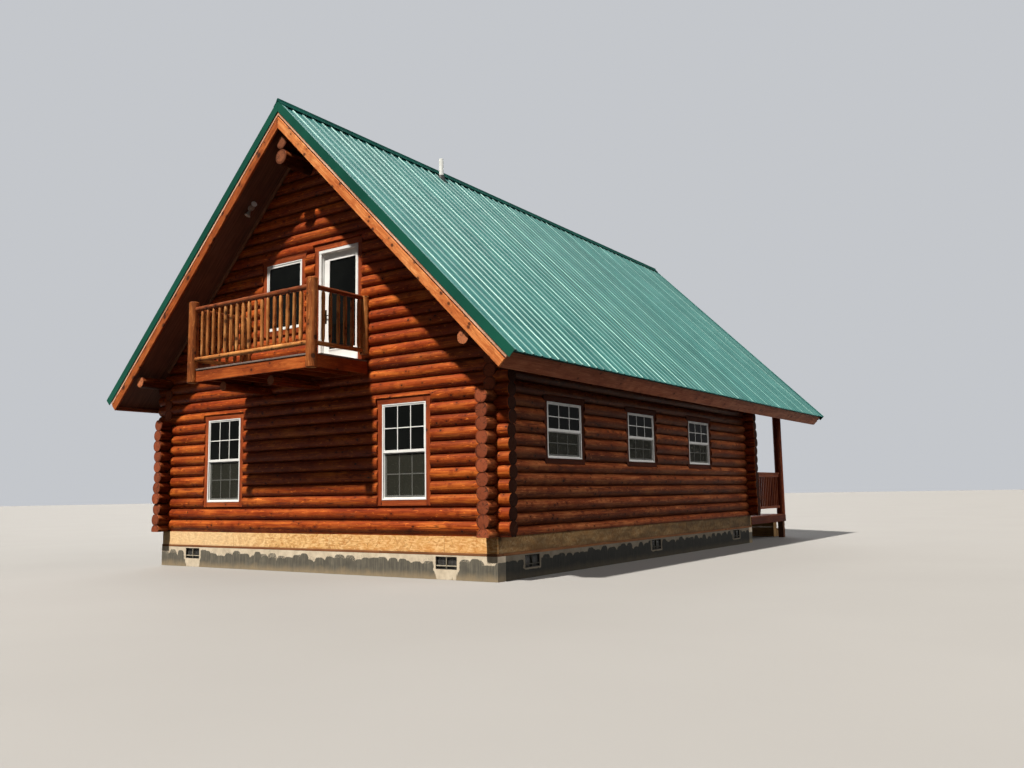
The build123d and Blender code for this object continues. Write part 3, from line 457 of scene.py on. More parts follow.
def mat_sheet(name, base, pale, rough, streaks=0.12, ribs=None, spec=0.35):
    """Coated steel sheet, with gc = (down the slope, along the eave, out)."""
    n = Nodes(name)
    gc, _ = n.attr("gc")
    s, y, q = n.sep(gc)
    panel = n.math("FLOOR", n.math("DIVIDE", n.math("ADD", y, 0.60), 0.9144))
    r, _ = n.white(n.math("ADD", panel, 3.0), "1D")
    st = n.noise(n.comb(n.math("MULTIPLY", s, 0.45), n.math("MULTIPLY", y, 9.0), 0.0), 1.0, 2.0, 0.5)
    bl = n.noise(n.comb(s, y, 0.0), 1.3, 3.0)
    f = n.math("ADD", n.math("MULTIPLY", st, 0.5), n.math("MULTIPLY", bl, 0.5))
    c = n.mix(n.smooth(f, 0.38, 0.64), base, pale)
    c = n.vec("SCALE", c, scale=n.math("MULTIPLY_ADD", r, 2 * streaks, 1.0 - streaks))
    if ribs:
        # painted highlight: the upper front edge of each rib is painted pale as a sun glint, more so on every fourth
        # one where the sheets lap, less towards the back; painted shade darkens the rib flanks, less towards the back
        k = n.math("ADD", n.math("DIVIDE", n.math("ADD", y, 0.491), 0.2286), 400.5)
        lap = n.math("LESS_THAN", n.math("FRACT", n.math("DIVIDE", n.math("FLOOR", k), 4.0)), 0.2)
        rk, _ = n.white(n.math("FLOOR", k), "1D")
        fr = n.math("SUBTRACT", n.math("FRACT", k), 0.5)
        af = n.math("ABSOLUTE", fr)
        flank = n.math("MULTIPLY", n.smooth(af, 0.118, 0.108), n.smooth(af, 0.046, 0.056))
        c = n.mix(n.math("MULTIPLY", flank, n.smooth(y, 3.0, 10.0, 0.24, 0.10)), c, tuple(0.35 * v for v in base))
        edge = n.math("MULTIPLY", n.smooth(af, 0.078, 0.068), n.smooth(af, 0.030, 0.040))
        near = n.math("MULTIPLY", n.smooth(fr, -0.104, -0.090), n.math("MULTIPLY", n.smooth(fr, -0.030, -0.040), n.smooth(y, 0.5, 4.0, 0.22, 0.0)))
        edge = n.math("MAXIMUM", edge, near)
        amt = n.math("MULTIPLY", n.math("MULTIPLY_ADD", rk, 0.34, 0.24), n.smooth(y, 2.0, 9.0, 1.0, 0.28))
        amt = n.math("ADD", amt, n.math("MULTIPLY", lap, n.smooth(y, 3.0, 12.0, 0.58, 0.34)))
        amt = n.math("MULTIPLY", edge, n.math("MINIMUM", amt, 1.0))
        c = n.mix(n.math("MULTIPLY", amt, n.math("MULTIPLY_ADD", bl, 0.4, 0.75)), c, ribs)
        wear = n.math("MULTIPLY", n.smooth(n.noise(n.comb(s, y, q), 9.0, 4.0, 0.7), 0.62, 0.76), 0.18)
        c = n.mix(wear, c, lin(130, 160, 150))
    oil = n.noise(n.comb(n.math("MULTIPLY", s, 2.2), n.math("MULTIPLY", y, 7.0), 0.0), 1.0, 1.0)
    n.bump(oil, 0.25, 0.006)
    ro = n.math("MULTIPLY_ADD", st, 0.18, rough - 0.09)
    if ribs:
        ro = n.math("ADD", ro, n.math("MULTIPLY", flank, 0.32))
    return n.set(color=c, rough=ro, spec=spec)


# the last colour is the painted rib glint, a painted highlight
M["roof"] = mat_sheet("roof_green", lin(39, 97, 94), lin(56, 114, 110), 0.36, 0.08, lin(196, 240, 228))
M["trimgreen"] = mat_sheet("trim_green", lin(8, 68, 54), lin(16, 84, 67), 0.38, 0.06)
M["capgreen"] = mat_sheet("cap_green", lin(7, 56, 50), lin(14, 70, 62), 0.55, 0.10, spec=0.10)


def mat_vinyl():
    n = Nodes("white_vinyl")
    gc, _ = n.attr("gc")
    a = n.noise(gc, 3.0, 3.0)
    b = n.noise(gc, 60.0, 2.0)
    c = n.mix(n.smooth(n.math("ADD", n.math("MULTIPLY", a, 0.7), n.math("MULTIPLY", b, 0.3)), 0.35, 0.65), lin(232, 232, 228), lin(246, 246, 243))
    n.bump(b, 0.05, 0.001)
    return n.set(color=c, rough=n.math("MULTIPLY_ADD", b, 0.15, 0.30), spec=0.5)


M["vinyl"] = mat_vinyl()


def mat_glass():
    n = Nodes("window_glass")
    gc, _ = n.attr("gc")
    a = n.noise(gc, 1.6, 2.0)
    c = n.mix(n.smooth(a, 0.3, 0.7), lin(8, 10, 9), lin(18, 20, 18))
    n.bump(n.noise(gc, 1.1, 1.0), 0.10, 0.004)
    return n.set(color=c, rough=0.05, alpha=0.92, spec=0.25)


M["glass"] = mat_glass()


def mat_screen():
    n = Nodes("insect_screen")
    gc, _ = n.attr("gc")
    s, u, z = n.sep(gc)
    w1 = n.math("ABSOLUTE", n.math("SINE", n.math("MULTIPLY", s, 1570.0)))
    w2 = n.math("ABSOLUTE", n.math("SINE", n.math("MULTIPLY", z, 1570.0)))
    wv = n.math("MAXIMUM", w1, w2)
    c = n.mix(n.smooth(wv, 0.7, 1.0), lin(40, 40, 33), lin(70, 70, 60))
    n.bump(wv, 0.1, 0.0005)
    return n.set(color=c, rough=0.6, alpha=0.40, spec=0.15)


M["screen"] = mat_screen()


def mat_plain(name, a, b, rough, metal=0.0, scale=12.0, bumps=0.1, spec=0.5):
    n = Nodes(name)
    gc, _ = n.attr("gc")
    _, sd = n.attr("seed")
    q = n.vec("ADD", gc, n.comb(n.math("MULTIPLY", sd, 17.0), 0.0, 0.0))
    x = n.noise(q, scale, 4.0, 0.6)
    y = n.noise(q, scale * 9.0, 2.0)
    c = n.mix(n.smooth(n.math("ADD", n.math("MULTIPLY", x, 0.7), n.math("MULTIPLY", y, 0.3)), 0.36, 0.64), a, b)
    n.bump(y, bumps, 0.002)
    return n.set(color=c, rough=n.math("MULTIPLY_ADD", x, 0.2, rough - 0.1), metal=metal, spec=spec)


M["lampgrey"] = mat_plain("lamp_casting", lin(150, 146, 138), lin(176, 172, 164), 0.5, 0.0, 30.0)
M["bronze"] = mat_plain("handle_metal", lin(58, 46, 34), lin(88, 70, 50), 0.35, 0.9, 30.0)
M["pipe"] = mat_plain("white_pipe", lin(230, 230, 224), lin(244, 244, 240), 0.40)
M["boot"] = mat_plain("dark_rubber", lin(24, 28, 27), lin(44, 48, 46), 0.6)
M["vent"] = mat_plain("vent_plastic", lin(150, 140, 120), lin(184, 174, 152), 0.6)
# painted shade: a darkened copy of the vent plastic, for the bars of the vents on the side walls
M["ventside"] = mat_plain("vent_plastic_dirty", lin(52, 50, 42), lin(74, 70, 60), 0.7)
M["ventdark"] = mat_plain("vent_screen", lin(18, 16, 13), lin(34, 30, 25), 0.7)
M["steel"] = mat_plain("galvanised", lin(150, 152, 152), lin(182, 184, 184), 0.4, 0.8, 40.0)
M["deckgrey"] = wood("grey_decking", lin(88, 74, 68), lin(112, 97, 89), lin(134, 118, 109), knots=0.1, grain=60.0, rough=0.7,
                     tone=0.06, redness=0.0, checks=0.1, bump=0.2, knot=lin(110, 104, 98))


# --------------------------------------------------------------- mesh builder
class Build:
    def __init__(self):
        self.v, self.g, self.s, self.f, self.m, self.n = [], [], [], [], [], 0
        self.extra = {}

    def add(self, v, faces, g, seed, mi):
        v = np.asarray(v, float)
        self.v.append(v)
        self.g.append(np.asarray(g, float))
        self.s.append(np.full(len(v), float(seed)))
        b = self.n
        self.f.extend([tuple(i + b for i in f) for f in faces])
        self.m.extend([mi] * len(faces) if isinstance(mi, int) else list(mi))
        self.n += len(v)

    def make(self, name, mats, replaces=(), slot=None, sharp=38.0, smooth=True):
        v = np.concatenate(self.v) + np.array([0.0, -YM, ZG])
        me = bpy.data.meshes.new(name)
        me.from_pydata(v.tolist(), [], self.f)
        me.polygons.foreach_set("material_index", np.array(self.m, np.int32))
        a = me.attributes.new("gc", "FLOAT_VECTOR", "POINT")
        a.data.foreach_set("vector", np.concatenate(self.g).astype(np.float32).ravel())
        a = me.attributes.new("seed", "FLOAT", "POINT")
        a.data.foreach_set("value", np.concatenate(self.s).astype(np.float32))
        for k, vals in self.extra.items():
            a = me.attributes.new(k, "FLOAT", "POINT")
            a.data.foreach_set("value", np.concatenate(vals).astype(np.float32))
        for m in mats:
            me.materials.append(M[m])
        me.update()
        if smooth:
            me.shade_smooth()
            me.set_sharp_from_angle(angle=math.radians(sharp))
        o = bpy.data.objects.new(name, me)
        bpy.context.scene.collection.objects.link(o)
        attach(o, "root")
        if replaces:
            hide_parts(*([replaces] if isinstance(replaces, str) else replaces))
        return o


def tube(B, O, A, U, V, s, R, seed, segs=32, mod=None, end0=None, end1=None, flat=None, mi=(0, 1), bow=0.003, vbow=0.0,
         lump=0.012, ch=0.006, dome=0.003):
    """A round log from s[0] to s[-1] along A from O, with chamfered, capped ends."""
    r_ = np.random.default_rng(int(abs(seed) * 1e6) + 11)
    ph = r_.uniform(0, 2 * math.pi, 8)
    th = (np.arange(segs) + 0.5) * 2 * math.pi / segs
    ct, st = np.cos(th), np.sin(th)

    def ring(sv, scale=1.0, inset=0.0, shift=0.0, which=0):
        r = R(sv) if callable(R) else R
        rr = r * (1 + lump * (0.5 * np.sin(2 * th + ph[0] + 0.9 * sv) + 0.35 * np.sin(3 * th + ph[1] - 1.3 * sv)
                              + 0.25 * np.sin(5 * th + ph[2] + 2.1 * sv) + 0.4 * math.sin(1.7 * sv + ph[3])))
        u = (rr - inset) * scale * ct + bow * math.sin(0.8 * sv + ph[4])
        v = (rr - inset) * scale * st + vbow * math.sin(0.7 * sv + ph[5])
        if flat is not None:
            v = np.clip(v, flat[0], flat[1])
        if mod is not None:
            u, v = mod(sv, u, v)
        sa = np.full(segs, sv)
        if which < 0 and end0 is not None:
            sa = end0(v)
        if which > 0 and end1 is not None:
            sa = end1(v)
        return np.stack([sa + shift, u, v], 1)

    s = list(s)
    rings, kinds = [], []
    rings.append(ring(s[0], 0.45, ch, -dome * 0.7, -1)); kinds.append(1)
    rings.append(ring(s[0], 1.0, ch, 0.0, -1)); kinds.append(0)
    rings.append(ring(s[0], 1.0, 0.0, ch, -1)); kinds.append(0)
    for sv in s[1:-1]:
        rings.append(ring(sv)); kinds.append(0)
    rings.append(ring(s[-1], 1.0, 0.0, -ch, 1)); kinds.append(0)
    rings.append(ring(s[-1], 1.0, ch, 0.0, 1)); kinds.append(1)
    rings.append(ring(s[-1], 0.45, ch, dome * 0.7, 1))
    c0 = rings[0].mean(0) - np.array([dome * 0.3, 0, 0])
    c1 = rings[-1].mean(0) + np.array([dome * 0.3, 0, 0])
    loc = np.concatenate(rings + [c0[None], c1[None]])
    n, k = len(rings), segs
    faces, mis = [], []
    flip = float(np.dot(np.cross(A, U), V)) < 0
    j = np.arange(k)
    j2 = (j + 1) % k
    for i in range(n - 1):
        q = np.stack([i * k + j, i * k + j2, (i + 1) * k + j2, (i + 1) * k + j], 1)
        if flip:
            q = q[:, ::-1]
        faces.extend(map(tuple, q.tolist()))
        mis.extend([mi[kinds[i]]] * k)
    t0 = np.stack([np.full(k, n * k), j2, j], 1)
    t1 = np.stack([np.full(k, n * k + 1), (n - 1) * k + j, (n - 1) * k + j2], 1)
    if flip:
        t0, t1 = t0[:, ::-1], t1[:, ::-1]
    faces.extend(map(tuple, t0.tolist()))
    faces.extend(map(tuple, t1.tolist()))
    mis.extend([mi[1]] * (2 * k))
    world = np.asarray(O, float) + loc[:, :1] * A + loc[:, 1:2] * U + loc[:, 2:3] * V
    B.add(world, faces, loc, seed, mis)


def _template():
    verts, idx = [], {}
    for sx in (-1, 1):
        for sy in (-1, 1):
            for sz in (-1, 1):
                for a in range(3):
                    idx[(sx, sy, sz, a)] = len(verts)
                    verts.append(((sx, sy, sz), a))
    faces, axis = [], []
    for a in range(3):
        b, c = (a + 1) % 3, (a + 2) % 3
        for s in (-1, 1):
            loop = []
            for sb, sc in ((-1, -1), (1, -1), (1, 1), (-1, 1)):
                k = [0, 0, 0]
                k[a], k[b], k[c] = s, sb, sc
                loop.append(idx[(*k, a)])
            faces.append(loop)
            axis.append(a)
    for a in range(3):
        b, c = (a + 1) % 3, (a + 2) % 3
        for sb in (-1, 1):
            for sc in (-1, 1):
                k0, k1 = [0, 0, 0], [0, 0, 0]
                k0[a], k1[a] = -1, 1
                k0[b] = k1[b] = sb
                k0[c] = k1[c] = sc
                faces.append([idx[(*k0, b)], idx[(*k1, b)], idx[(*k1, c)], idx[(*k0, c)]])
                axis.append(1)
    for sx in (-1, 1):
        for sy in (-1, 1):
            for sz in (-1, 1):
                faces.append([idx[(sx, sy, sz, a)] for a in range(3)])
                axis.append(1)
    unit = np.array([[s * (1.0 if i == a else 0.9) for i, s in enumerate(sg)] for sg, a in verts])
    out = []
    for f in faces:
        p = unit[f]
        nn = np.cross(p[1] - p[0], p[2] - p[0])
        out.append(tuple(f if np.dot(nn, p.mean(0)) > 0 else f[::-1]))
    return verts, out, axis


T_V, T_F, T_A = _template()
T_S = np.array([s for s, _ in T_V], float)
T_X = np.array([[1.0 if i == a else 0.0 for i in range(3)] for _, a in T_V])


def board(B, c, A, U, V, L, Wd, T, seed, bev=0.003, mi=(0, 1)):
    """A sawn board: L along A, Wd along U, T along V, with eased edges and its grain along A."""
    h = np.array([L, Wd, T]) / 2
    bev = min(bev, 0.45 * min(h))
    loc = T_S * (h - bev * (1 - T_X))
    faces = T_F
    if float(np.dot(np.cross(A, U), V)) < 0:
        faces = [f[::-1] for f in T_F]
    mis = [mi[1] if (i < 6 and T_A[i] == 0) else mi[0] for i in range(len(T_F))]
    world = np.asarray(c, float) + loc[:, :1] * A + loc[:, 1:2] * U + loc[:, 2:3] * V
    B.add(world, faces, loc, seed, mis)


def bar(B, x0, x1, y0, y1, z0, z1, along="x", seed=None, bev=0.003, mi=(0, 1)):
    """An axis-aligned board with its grain along one axis."""
    c = ((x0 + x1) / 2, (y0 + y1) / 2, (z0 + z1) / 2)
    dx, dy, dz = x1 - x0, y1 - y0, z1 - z0
    seed = rnd.random() if seed is None else seed
    if along == "x":
        board(B, c, X, Y, Z, dx, dy, dz, seed, bev, mi)
    elif along == "y":
        board(B, c, Y, X, Z, dy, dx, dz, seed, bev, mi)
    else:
        board(B, c, Z, X, Y, dz, dx, dy, seed, bev, mi)


def loft(B, ring0, ring1, g0, g1, seed, mi=0, mi_end=1):
    """A closed solid between two like rings of points."""
    k = len(ring0)
    v = np.concatenate([ring0, ring1])
    faces = [(i, (i + 1) % k, k + (i + 1) % k, k + i) for i in range(k)] + [tuple(range(k - 1, -1, -1)), tuple(range(k, 2 * k))]
    vol = 0.0
    c = v.mean(0)
    for f in faces:
        for a in range(1, len(f) - 1):
            vol += float(np.dot(v[f[0]] - c, np.cross(v[f[a]] - c, v[f[a + 1]] - c)))
    if vol < 0:
        faces = [f[::-1] for f in faces]
    B.add(v, faces, np.concatenate([g0, g1]), seed, (list(mi) if isinstance(mi, (list, tuple)) else [mi] * k) + [mi_end] * 2)


def slope_pt(s, y, p, side):
    """A point on a roof slope: s down from the ridge, p square below the metal plane."""
    return (side * (s - p) / RT, y, RIDGE_Z - (s + p) / RT)


def slope_prism(B, prof, s0, s1, side, seed, mi=0, mi_end=1, plumb=True):
    """A rake board with cross-section prof, points (y, p); plumb cut at the ridge when asked."""
    a, b, ga, gb = [], [], [], []
    for y, p in prof:
        st = p + 0.0007 if plumb else s0
        a.append(slope_pt(st, y, p, side))
        b.append(slope_pt(s1, y, p, side))
        ga.append((st, y, p))
        gb.append((s1, y, p))
    loft(B, np.array(a), np.array(b), np.array(ga), np.array(gb), seed, mi, mi_end)


def eased(y0, y1, p0, p1, c=0.003):
    return [(y0 + c, p0), (y1 - c, p0), (y1, p0 + c), (y1, p1 - c), (y1 - c, p1), (y0 + c, p1), (y0, p1 - c), (y0, p0 + c)]


# ------------------------------------------------------------------ log walls
H = PITCH / 2
TT = TRIM + 0.002
EPS = 0.0006


def wall_log(B, O, A, U, V, zc, s0, s1, sg, face_u, ops, seed, flat, end0=None, end1=None, low=None):
    """One course of a wall. ops are openings (a, b, z0, z1, bottom trim?) along the wall; sg is the sign of the outer side."""
    cuts, pts, act = [], [], []
    for a, b, z0, z1, bot in ops:
        if a > s1 or b < s0:
            continue
        rec = [(a - TT, b + TT, z0 - (TT if bot else 0.0), z1 + TT), (a - TT - 0.026, b + TT + 0.026, z1 - 0.001, z1 + TT + 0.010)]
        for ra, rb, rz0, rz1 in rec:
            if zc + H > rz0 and zc - H < rz1:
                act.append(("r", ra, rb, rz0, rz1))
                pts += [ra - EPS, ra + EPS, rb - EPS, rb + EPS]
        if zc + H > z0 and zc - H < z1:
            if zc + H <= z1 + 0.035 and zc - H >= z0 - 0.035:
                cuts.append((a, b))
            else:
                act.append(("h", a, b, z0, z1))
                pts += [a - EPS, a + EPS, b - EPS, b + EPS]

    lim = abs(face_u) - 0.0215

    def mod(sv, u, v):
        for k, a, b, z0, z1 in act:
            if a <= sv <= b:
                zz = zc + v
                m = (zz > z0) & (zz < z1)
                if k == "r":
                    u = np.where(m & (sg * u > lim), sg * lim, u)
                elif zc < (z0 + z1) / 2:
                    v = np.where(m, z0 - zc, v)
                else:
                    v = np.where(m, z1 - zc, v)
        if low is not None:
            v = np.where(v < -0.086, low, v)
        return u, v

    segs = [(s0, s1)]
    for a, b in sorted(cuts):
        last = segs.pop()
        segs += [(last[0], a - 0.0005), (b + 0.0005, last[1])]
    r_ = np.random.default_rng(int(seed * 1e6) + 5)
    ph = r_.uniform(0, 6.28, 3)
    big = r_.uniform(0.988, 1.010)

    def radius(s):
        return LOG_R * big * (1 + 0.006 * math.sin(0.55 * s + ph[0]) + 0.004 * math.sin(1.9 * s + ph[1]))

    for a, b in segs:
        n = max(2, int((b - a) / 0.30))
        grid = np.linspace(a, b, n + 1)[1:-1]
        inner = [p for p in pts if a + 0.01 < p < b - 0.01]
        grid = [g for g in grid if all(abs(g - p) > 0.03 for p in inner) and a + 0.03 < g < b - 0.03]
        ss = [a] + sorted(grid + inner) + [b]
        tube(B, O, A, U, V, ss, radius, seed, segs=34, mod=mod, flat=flat,
             end0=end0 if a == s0 else None, end1=end1 if b == s1 else None, bow=0.0035, lump=0.010)


def gable(name, y_axis, sg, ops, replaces):
    B = Build()
    j = 0
    top = SOFFIT_Z - 0.0015
    while True:
        zc = Z_FRONT0 + PITCH * j
        if zc > 6.90:
            break

        def lim(v, zc=zc):
            return np.maximum(np.minimum(STUB_X, top - (zc + v)), 0.03)

        s1 = float(min(STUB_X, top - zc - H)) - 0.02
        if j <= 12:
            s1 = STUB_X
            e0 = e1 = None
        else:
            e0, e1 = (lambda v, f=lim: -f(v)), lim
        out = rnd.uniform(-0.012, 0.012) if j <= 12 else 0.0
        if s1 > 0.2:
            wall_log(B, (0, y_axis, zc), X, Y, Z, zc, -s1 - (out if j <= 12 else 0), s1 + (out if j <= 12 else 0), sg,
                     0.085, ops, rnd.random(), (-H + 0.0002, H - 0.0002), e0, e1, low=-(Z_FRONT0 - 0.0005) if j == 0 else None)
        j += 1
    return B.make(name, ["log", "log_end_dark"], replaces, "stained_log")


gable("front_wall_logs", AYF, -1, [w + (True,) for w in FRONT_WIN] + [GABLE_WIN + (True,), DOOR + (False,)], "front_wall")
gable("back_wall_logs", AYB, 1, [w + (True,) for w in FRONT_WIN] + [BACK_WIN + (True,), ENTRY + (False,)], "back_wall")


def side(name, sx, replaces):
    B = Build()
    ops = [w + (True,) for w in SIDE_WIN]
    for k in range(14):
        zc = Z_SIDE0 + PITCH * k
        out = END_OUT if k <= 10 else 0.028
        d0, d1 = rnd.uniform(-0.012, 0.012, 2) if k <= 10 else (0.0, 0.0)
        flat = (-H + 0.0002, H - 0.0002) if k else (-Z_SIDE0 + 0.0005, H - 0.0002)
        wall_log(B, (sx * AX, 0, zc), Y, X, Z, zc, -out + d0, LENGTH + out + d1, sx, 0.087, ops, rnd.random(), flat)
    return B.make(name, ["log_side", "log_end"], replaces, "stained_log")


side("right_wall_logs", 1, "right_wall")
side("left_wall_logs", -1, "left_wall")


def spread(a, b, step=0.35):
    n = max(2, int((b - a) / step))
    return np.linspace(a, b, n + 1)


B = Build()
PZ = Z_SIDE0 + 14 * PITCH
for sx in (-1, 1):
    tube(B, (sx * AX, 0, PZ), Y, X, Z, spread(ROOF_Y0 + 0.092, ROOF_Y1 - 0.092), 0.106, rnd.random(), segs=34, bow=0.004)
B.make("plate_logs_round", ["log_side", "log_end_pale"], "plate_logs", "stained_log")
B = Build()
tube(B, (0, 0, 6.437), Y, X, Z, spread(ROOF_Y0 + 0.092, ROOF_Y1 - 0.092), 0.134, 0.417, segs=38, bow=0.004)
tube(B, (0, 0, 6.700), Y, X, Z, spread(ROOF_Y0 + 0.10, ROOF_Y1 - 0.10), 0.121, 0.713, segs=38, bow=0.004)
B.make("ridge_logs_round", ["log_side", "log_end_ridge"], "ridge_logs", "stained_log")

# ----------------------------------------------------- stem wall, sills, bands
FO, FT, FZ1 = HALF_W + 0.008, 0.203, -0.281
VW, VH, VZ = 0.406, 0.190, -0.490
V_FRONT, V_SIDE = (-3.045, 3.045), (0.904, 5.250, 9.500)


def stem(B, a0, a1, b0, b1, along, vents, seed, mi=0):
    """One stem wall, a0..a1 along it and b0..b1 across, as columns between its vents, with a fine grid for the bare patches."""
    cuts = sorted(set([a0, a1] + [v - VW / 2 for v in vents] + [v + VW / 2 for v in vents]))
    zs = [-ZG, VZ, VZ + VH, FZ1]
    xs = []
    for p, q in zip(cuts[:-1], cuts[1:]):
        n = max(1, int(round((q - p) / 0.07)))
        xs += list(np.linspace(p, q, n + 1)[:-1])
    xs.append(cuts[-1])
    zz = list(np.linspace(-ZG, VZ, 4)[:-1]) + list(np.linspace(VZ, VZ + VH, 5)[:-1]) + [VZ + VH, -0.290, FZ1]
    verts, index = [], {}

    def vid(i, k, j):
        key = (i, k, j)
        if key not in index:
            index[key] = len(verts)
            verts.append((xs[i], (b0, b1)[k], zz[j]))
        return index[key]

    def solid(i, j):
        xm, zm = (xs[i] + xs[i + 1]) / 2, (zz[j] + zz[j + 1]) / 2
        return not any(abs(xm - v) < VW / 2 and VZ < zm < VZ + VH for v in vents)

    faces = []
    nx, nz = len(xs) - 1, len(zz) - 1
    for i in range(nx):
        for j in range(nz):
            if not solid(i, j):
                continue
            faces.append((vid(i, 0, j), vid(i + 1, 0, j), vid(i + 1, 0, j + 1), vid(i, 0, j + 1)))
            faces.append((vid(i, 1, j), vid(i, 1, j + 1), vid(i + 1, 1, j + 1), vid(i + 1, 1, j)))
            if j == 0 or not solid(i, j - 1):
                faces.append((vid(i, 0, j), vid(i, 1, j), vid(i + 1, 1, j), vid(i + 1, 0, j)))
            if j == nz - 1 or not solid(i, j + 1):
                faces.append((vid(i, 0, j + 1), vid(i + 1, 0, j + 1), vid(i + 1, 1, j + 1), vid(i, 1, j + 1)))
            if i == 0 or not solid(i - 1, j):
                faces.append((vid(i, 0, j), vid(i, 0, j + 1), vid(i, 1, j + 1), vid(i, 1, j)))
            if i == nx - 1 or not solid(i + 1, j):
                faces.append((vid(i + 1, 0, j), vid(i + 1, 1, j), vid(i + 1, 1, j + 1), vid(i + 1, 0, j + 1)))
    L = np.array(verts)
    clear = np.zeros(len(L))
    for v in vents:
        dx = np.abs(L[:, 0] - v) - VW / 2
        beside = np.clip(0.95 - np.maximum(dx, 0) / 0.10, 0, 1.0) * (L[:, 2] > VZ - 0.01)
        below = np.clip(0.60 - dx / 0.11, 0, 0.95) * np.clip(1.25 - (VZ - L[:, 2]) / 0.26, 0, 1.0) * (L[:, 2] <= VZ + 0.01)
        clear = np.maximum(clear, np.maximum(beside, below if along == "x" else 0.0) * (L[:, 2] < -0.25))
    if along == "x":
        W_ = np.stack([L[:, 0], L[:, 1], L[:, 2]], 1)
    else:
        W_ = np.stack([L[:, 1], L[:, 0], L[:, 2]], 1)
        faces = [f[::-1] for f in faces]
    B.add(W_, faces, np.stack([L[:, 0], L[:, 1], L[:, 2]], 1), seed, mi)
    B.extra.setdefault("clear", []).append(clear)


B = Build()
stem(B, -FO, FO, -0.008, -0.008 + FT, "x", V_FRONT, 0.11)
stem(B, -FO, FO, LENGTH + 0.008 - FT, LENGTH + 0.008, "x", V_FRONT, 0.37)
# the side stem walls take the darkened concrete, painted shade
stem(B, -0.008 + FT + 0.001, LENGTH + 0.008 - FT - 0.001, FO - FT, FO, "y", V_SIDE, 0.53, 1)
stem(B, -0.008 + FT + 0.001, LENGTH + 0.008 - FT - 0.001, -FO, -FO + FT, "y", V_SIDE, 0.79, 1)
B.make("stem_walls", ["concrete", "concrete_side"], "foundation_walls", "concrete", sharp=30)


def vent(B, c, A, N_, dark=0):
    """A moulded vent: frame, cross bars and a dark screen with wires behind. A runs along the wall, N_ points out."""
    c = np.asarray(c, float)
    w, h = VW - 0.004, VH - 0.004

    def b(a0, a1, z0, z1, n0, n1, mi=dark):
        cc = c + A * (a0 + a1) / 2 + N_ * (n0 + n1) / 2 + Z * (z0 + z1) / 2
        board(B, cc, A, N_, Z, a1 - a0, n1 - n0, z1 - z0, rnd.random(), 0.002, (mi, mi))
    b(-w / 2, w / 2, h / 2 - 0.010, h / 2, -0.034, -0.006, 1)
    b(-w / 2, w / 2, -h / 2, -h / 2 + 0.012, -0.034, -0.004, 1)
    b(-w / 2, -w / 2 + 0.010, -h / 2 + 0.012, h / 2 - 0.010, -0.034, -0.006, 1)
    b(w / 2 - 0.010, w / 2, -h / 2 + 0.012, h / 2 - 0.010, -0.034, -0.006, 1)
    b(-0.006, 0.006, -h / 2 + 0.012, h / 2 - 0.010, -0.032, -0.003)
    b(-w / 2 + 0.004, -0.006, -0.050, -0.036, -0.030, -0.003)
    b(0.006, w / 2 - 0.004, -0.050, -0.036, -0.030, -0.003)
    b(-w / 2 + 0.002, w / 2 - 0.002, -h / 2 + 0.004, h / 2 - 0.004, -0.040, -0.036, 1)
    for i in range(1, 16):
        a = -w / 2 + w * i / 16
        b(a - 0.0012, a + 0.0012, -h / 2 + 0.018, h / 2 - 0.016, -0.0355, -0.0335, 2)


B = Build()
for x in V_FRONT:
    vent(B, (x, -0.008, VZ + VH / 2), X, -Y)
    vent(B, (x, LENGTH + 0.008, VZ + VH / 2), X, Y)
# the side vents' bars take the darkened plastic, painted shade
for y in V_SIDE:
    vent(B, (FO, y, VZ + VH / 2), Y, X, 3)
    vent(B, (-FO, y, VZ + VH / 2), Y, -X, 3)
B.make("stem_vents", ["vent", "ventdark", "steel", "ventside"], "foundation_vents", "vent_plastic")

B = Build()


def run(B, a0, a1, make, longest, gap=0.002):
    """Pieces of at most the longest length laid end to end from a0 to a1."""
    n = int(math.ceil((a1 - a0) / longest))
    offs = rnd.uniform(0.35, 1.0) * longest
    cuts = [a0]
    p = a0 + offs
    while p < a1 - 0.3:
        cuts.append(p)
        p += longest
    cuts.append(a1)
    for p, q in zip(cuts[:-1], cuts[1:]):
        make(p + (gap / 2 if p > a0 else 0), q - (gap / 2 if q < a1 else 0))


SZ0, SZ1 = FZ1, -0.243
run(B, -HALF_W - 0.006, HALF_W + 0.006, lambda p, q: bar(B, p, q, -0.010, 0.140, SZ0, SZ1 - 0.001, "x"), 3.6)
run(B, -HALF_W - 0.006, HALF_W + 0.006, lambda p, q: bar(B, p, q, LENGTH - 0.140, LENGTH + 0.010, SZ0, SZ1 - 0.001, "x"), 3.6)
run(B, 0.142, LENGTH - 0.142, lambda p, q: bar(B, HALF_W - 0.140, HALF_W + 0.010, p, q, SZ0, SZ1 - 0.001, "y"), 3.6)
run(B, 0.142, LENGTH - 0.142, lambda p, q: bar(B, -HALF_W - 0.010, -HALF_W + 0.140, p, q, SZ0, SZ1 - 0.001, "y"), 3.6)
B.make("sill_boards", ["sill", "sill"], "sill_plates", "treated_timber")

B = Build()
BT = 0.028
run(B, -HALF_W, HALF_W, lambda p, q: bar(B, p, q, 0, BT, SZ1, -0.001, "x", bev=0.0015), 2.438, 0.004)
run(B, -HALF_W, HALF_W, lambda p, q: bar(B, p, q, LENGTH - BT, LENGTH, SZ1, -0.001, "x", bev=0.0015), 2.438, 0.004)
k0 = len(B.m)
run(B, BT + 0.001, LENGTH - BT - 0.001, lambda p, q: bar(B, HALF_W - BT, HALF_W, p, q, SZ1, -0.001, "y", bev=0.0015), 2.438, 0.004)
run(B, BT + 0.001, LENGTH - BT - 0.001, lambda p, q: bar(B, -HALF_W, -HALF_W + BT, p, q, SZ1, -0.001, "y", bev=0.0015), 2.438, 0.004)
# the side bands take the darkened strand board, painted shade
B.m = [0] * k0 + [1] * (len(B.m) - k0)
B.make("strand_bands", ["osb", "osb_side"], "rim_bands", "strand_board")


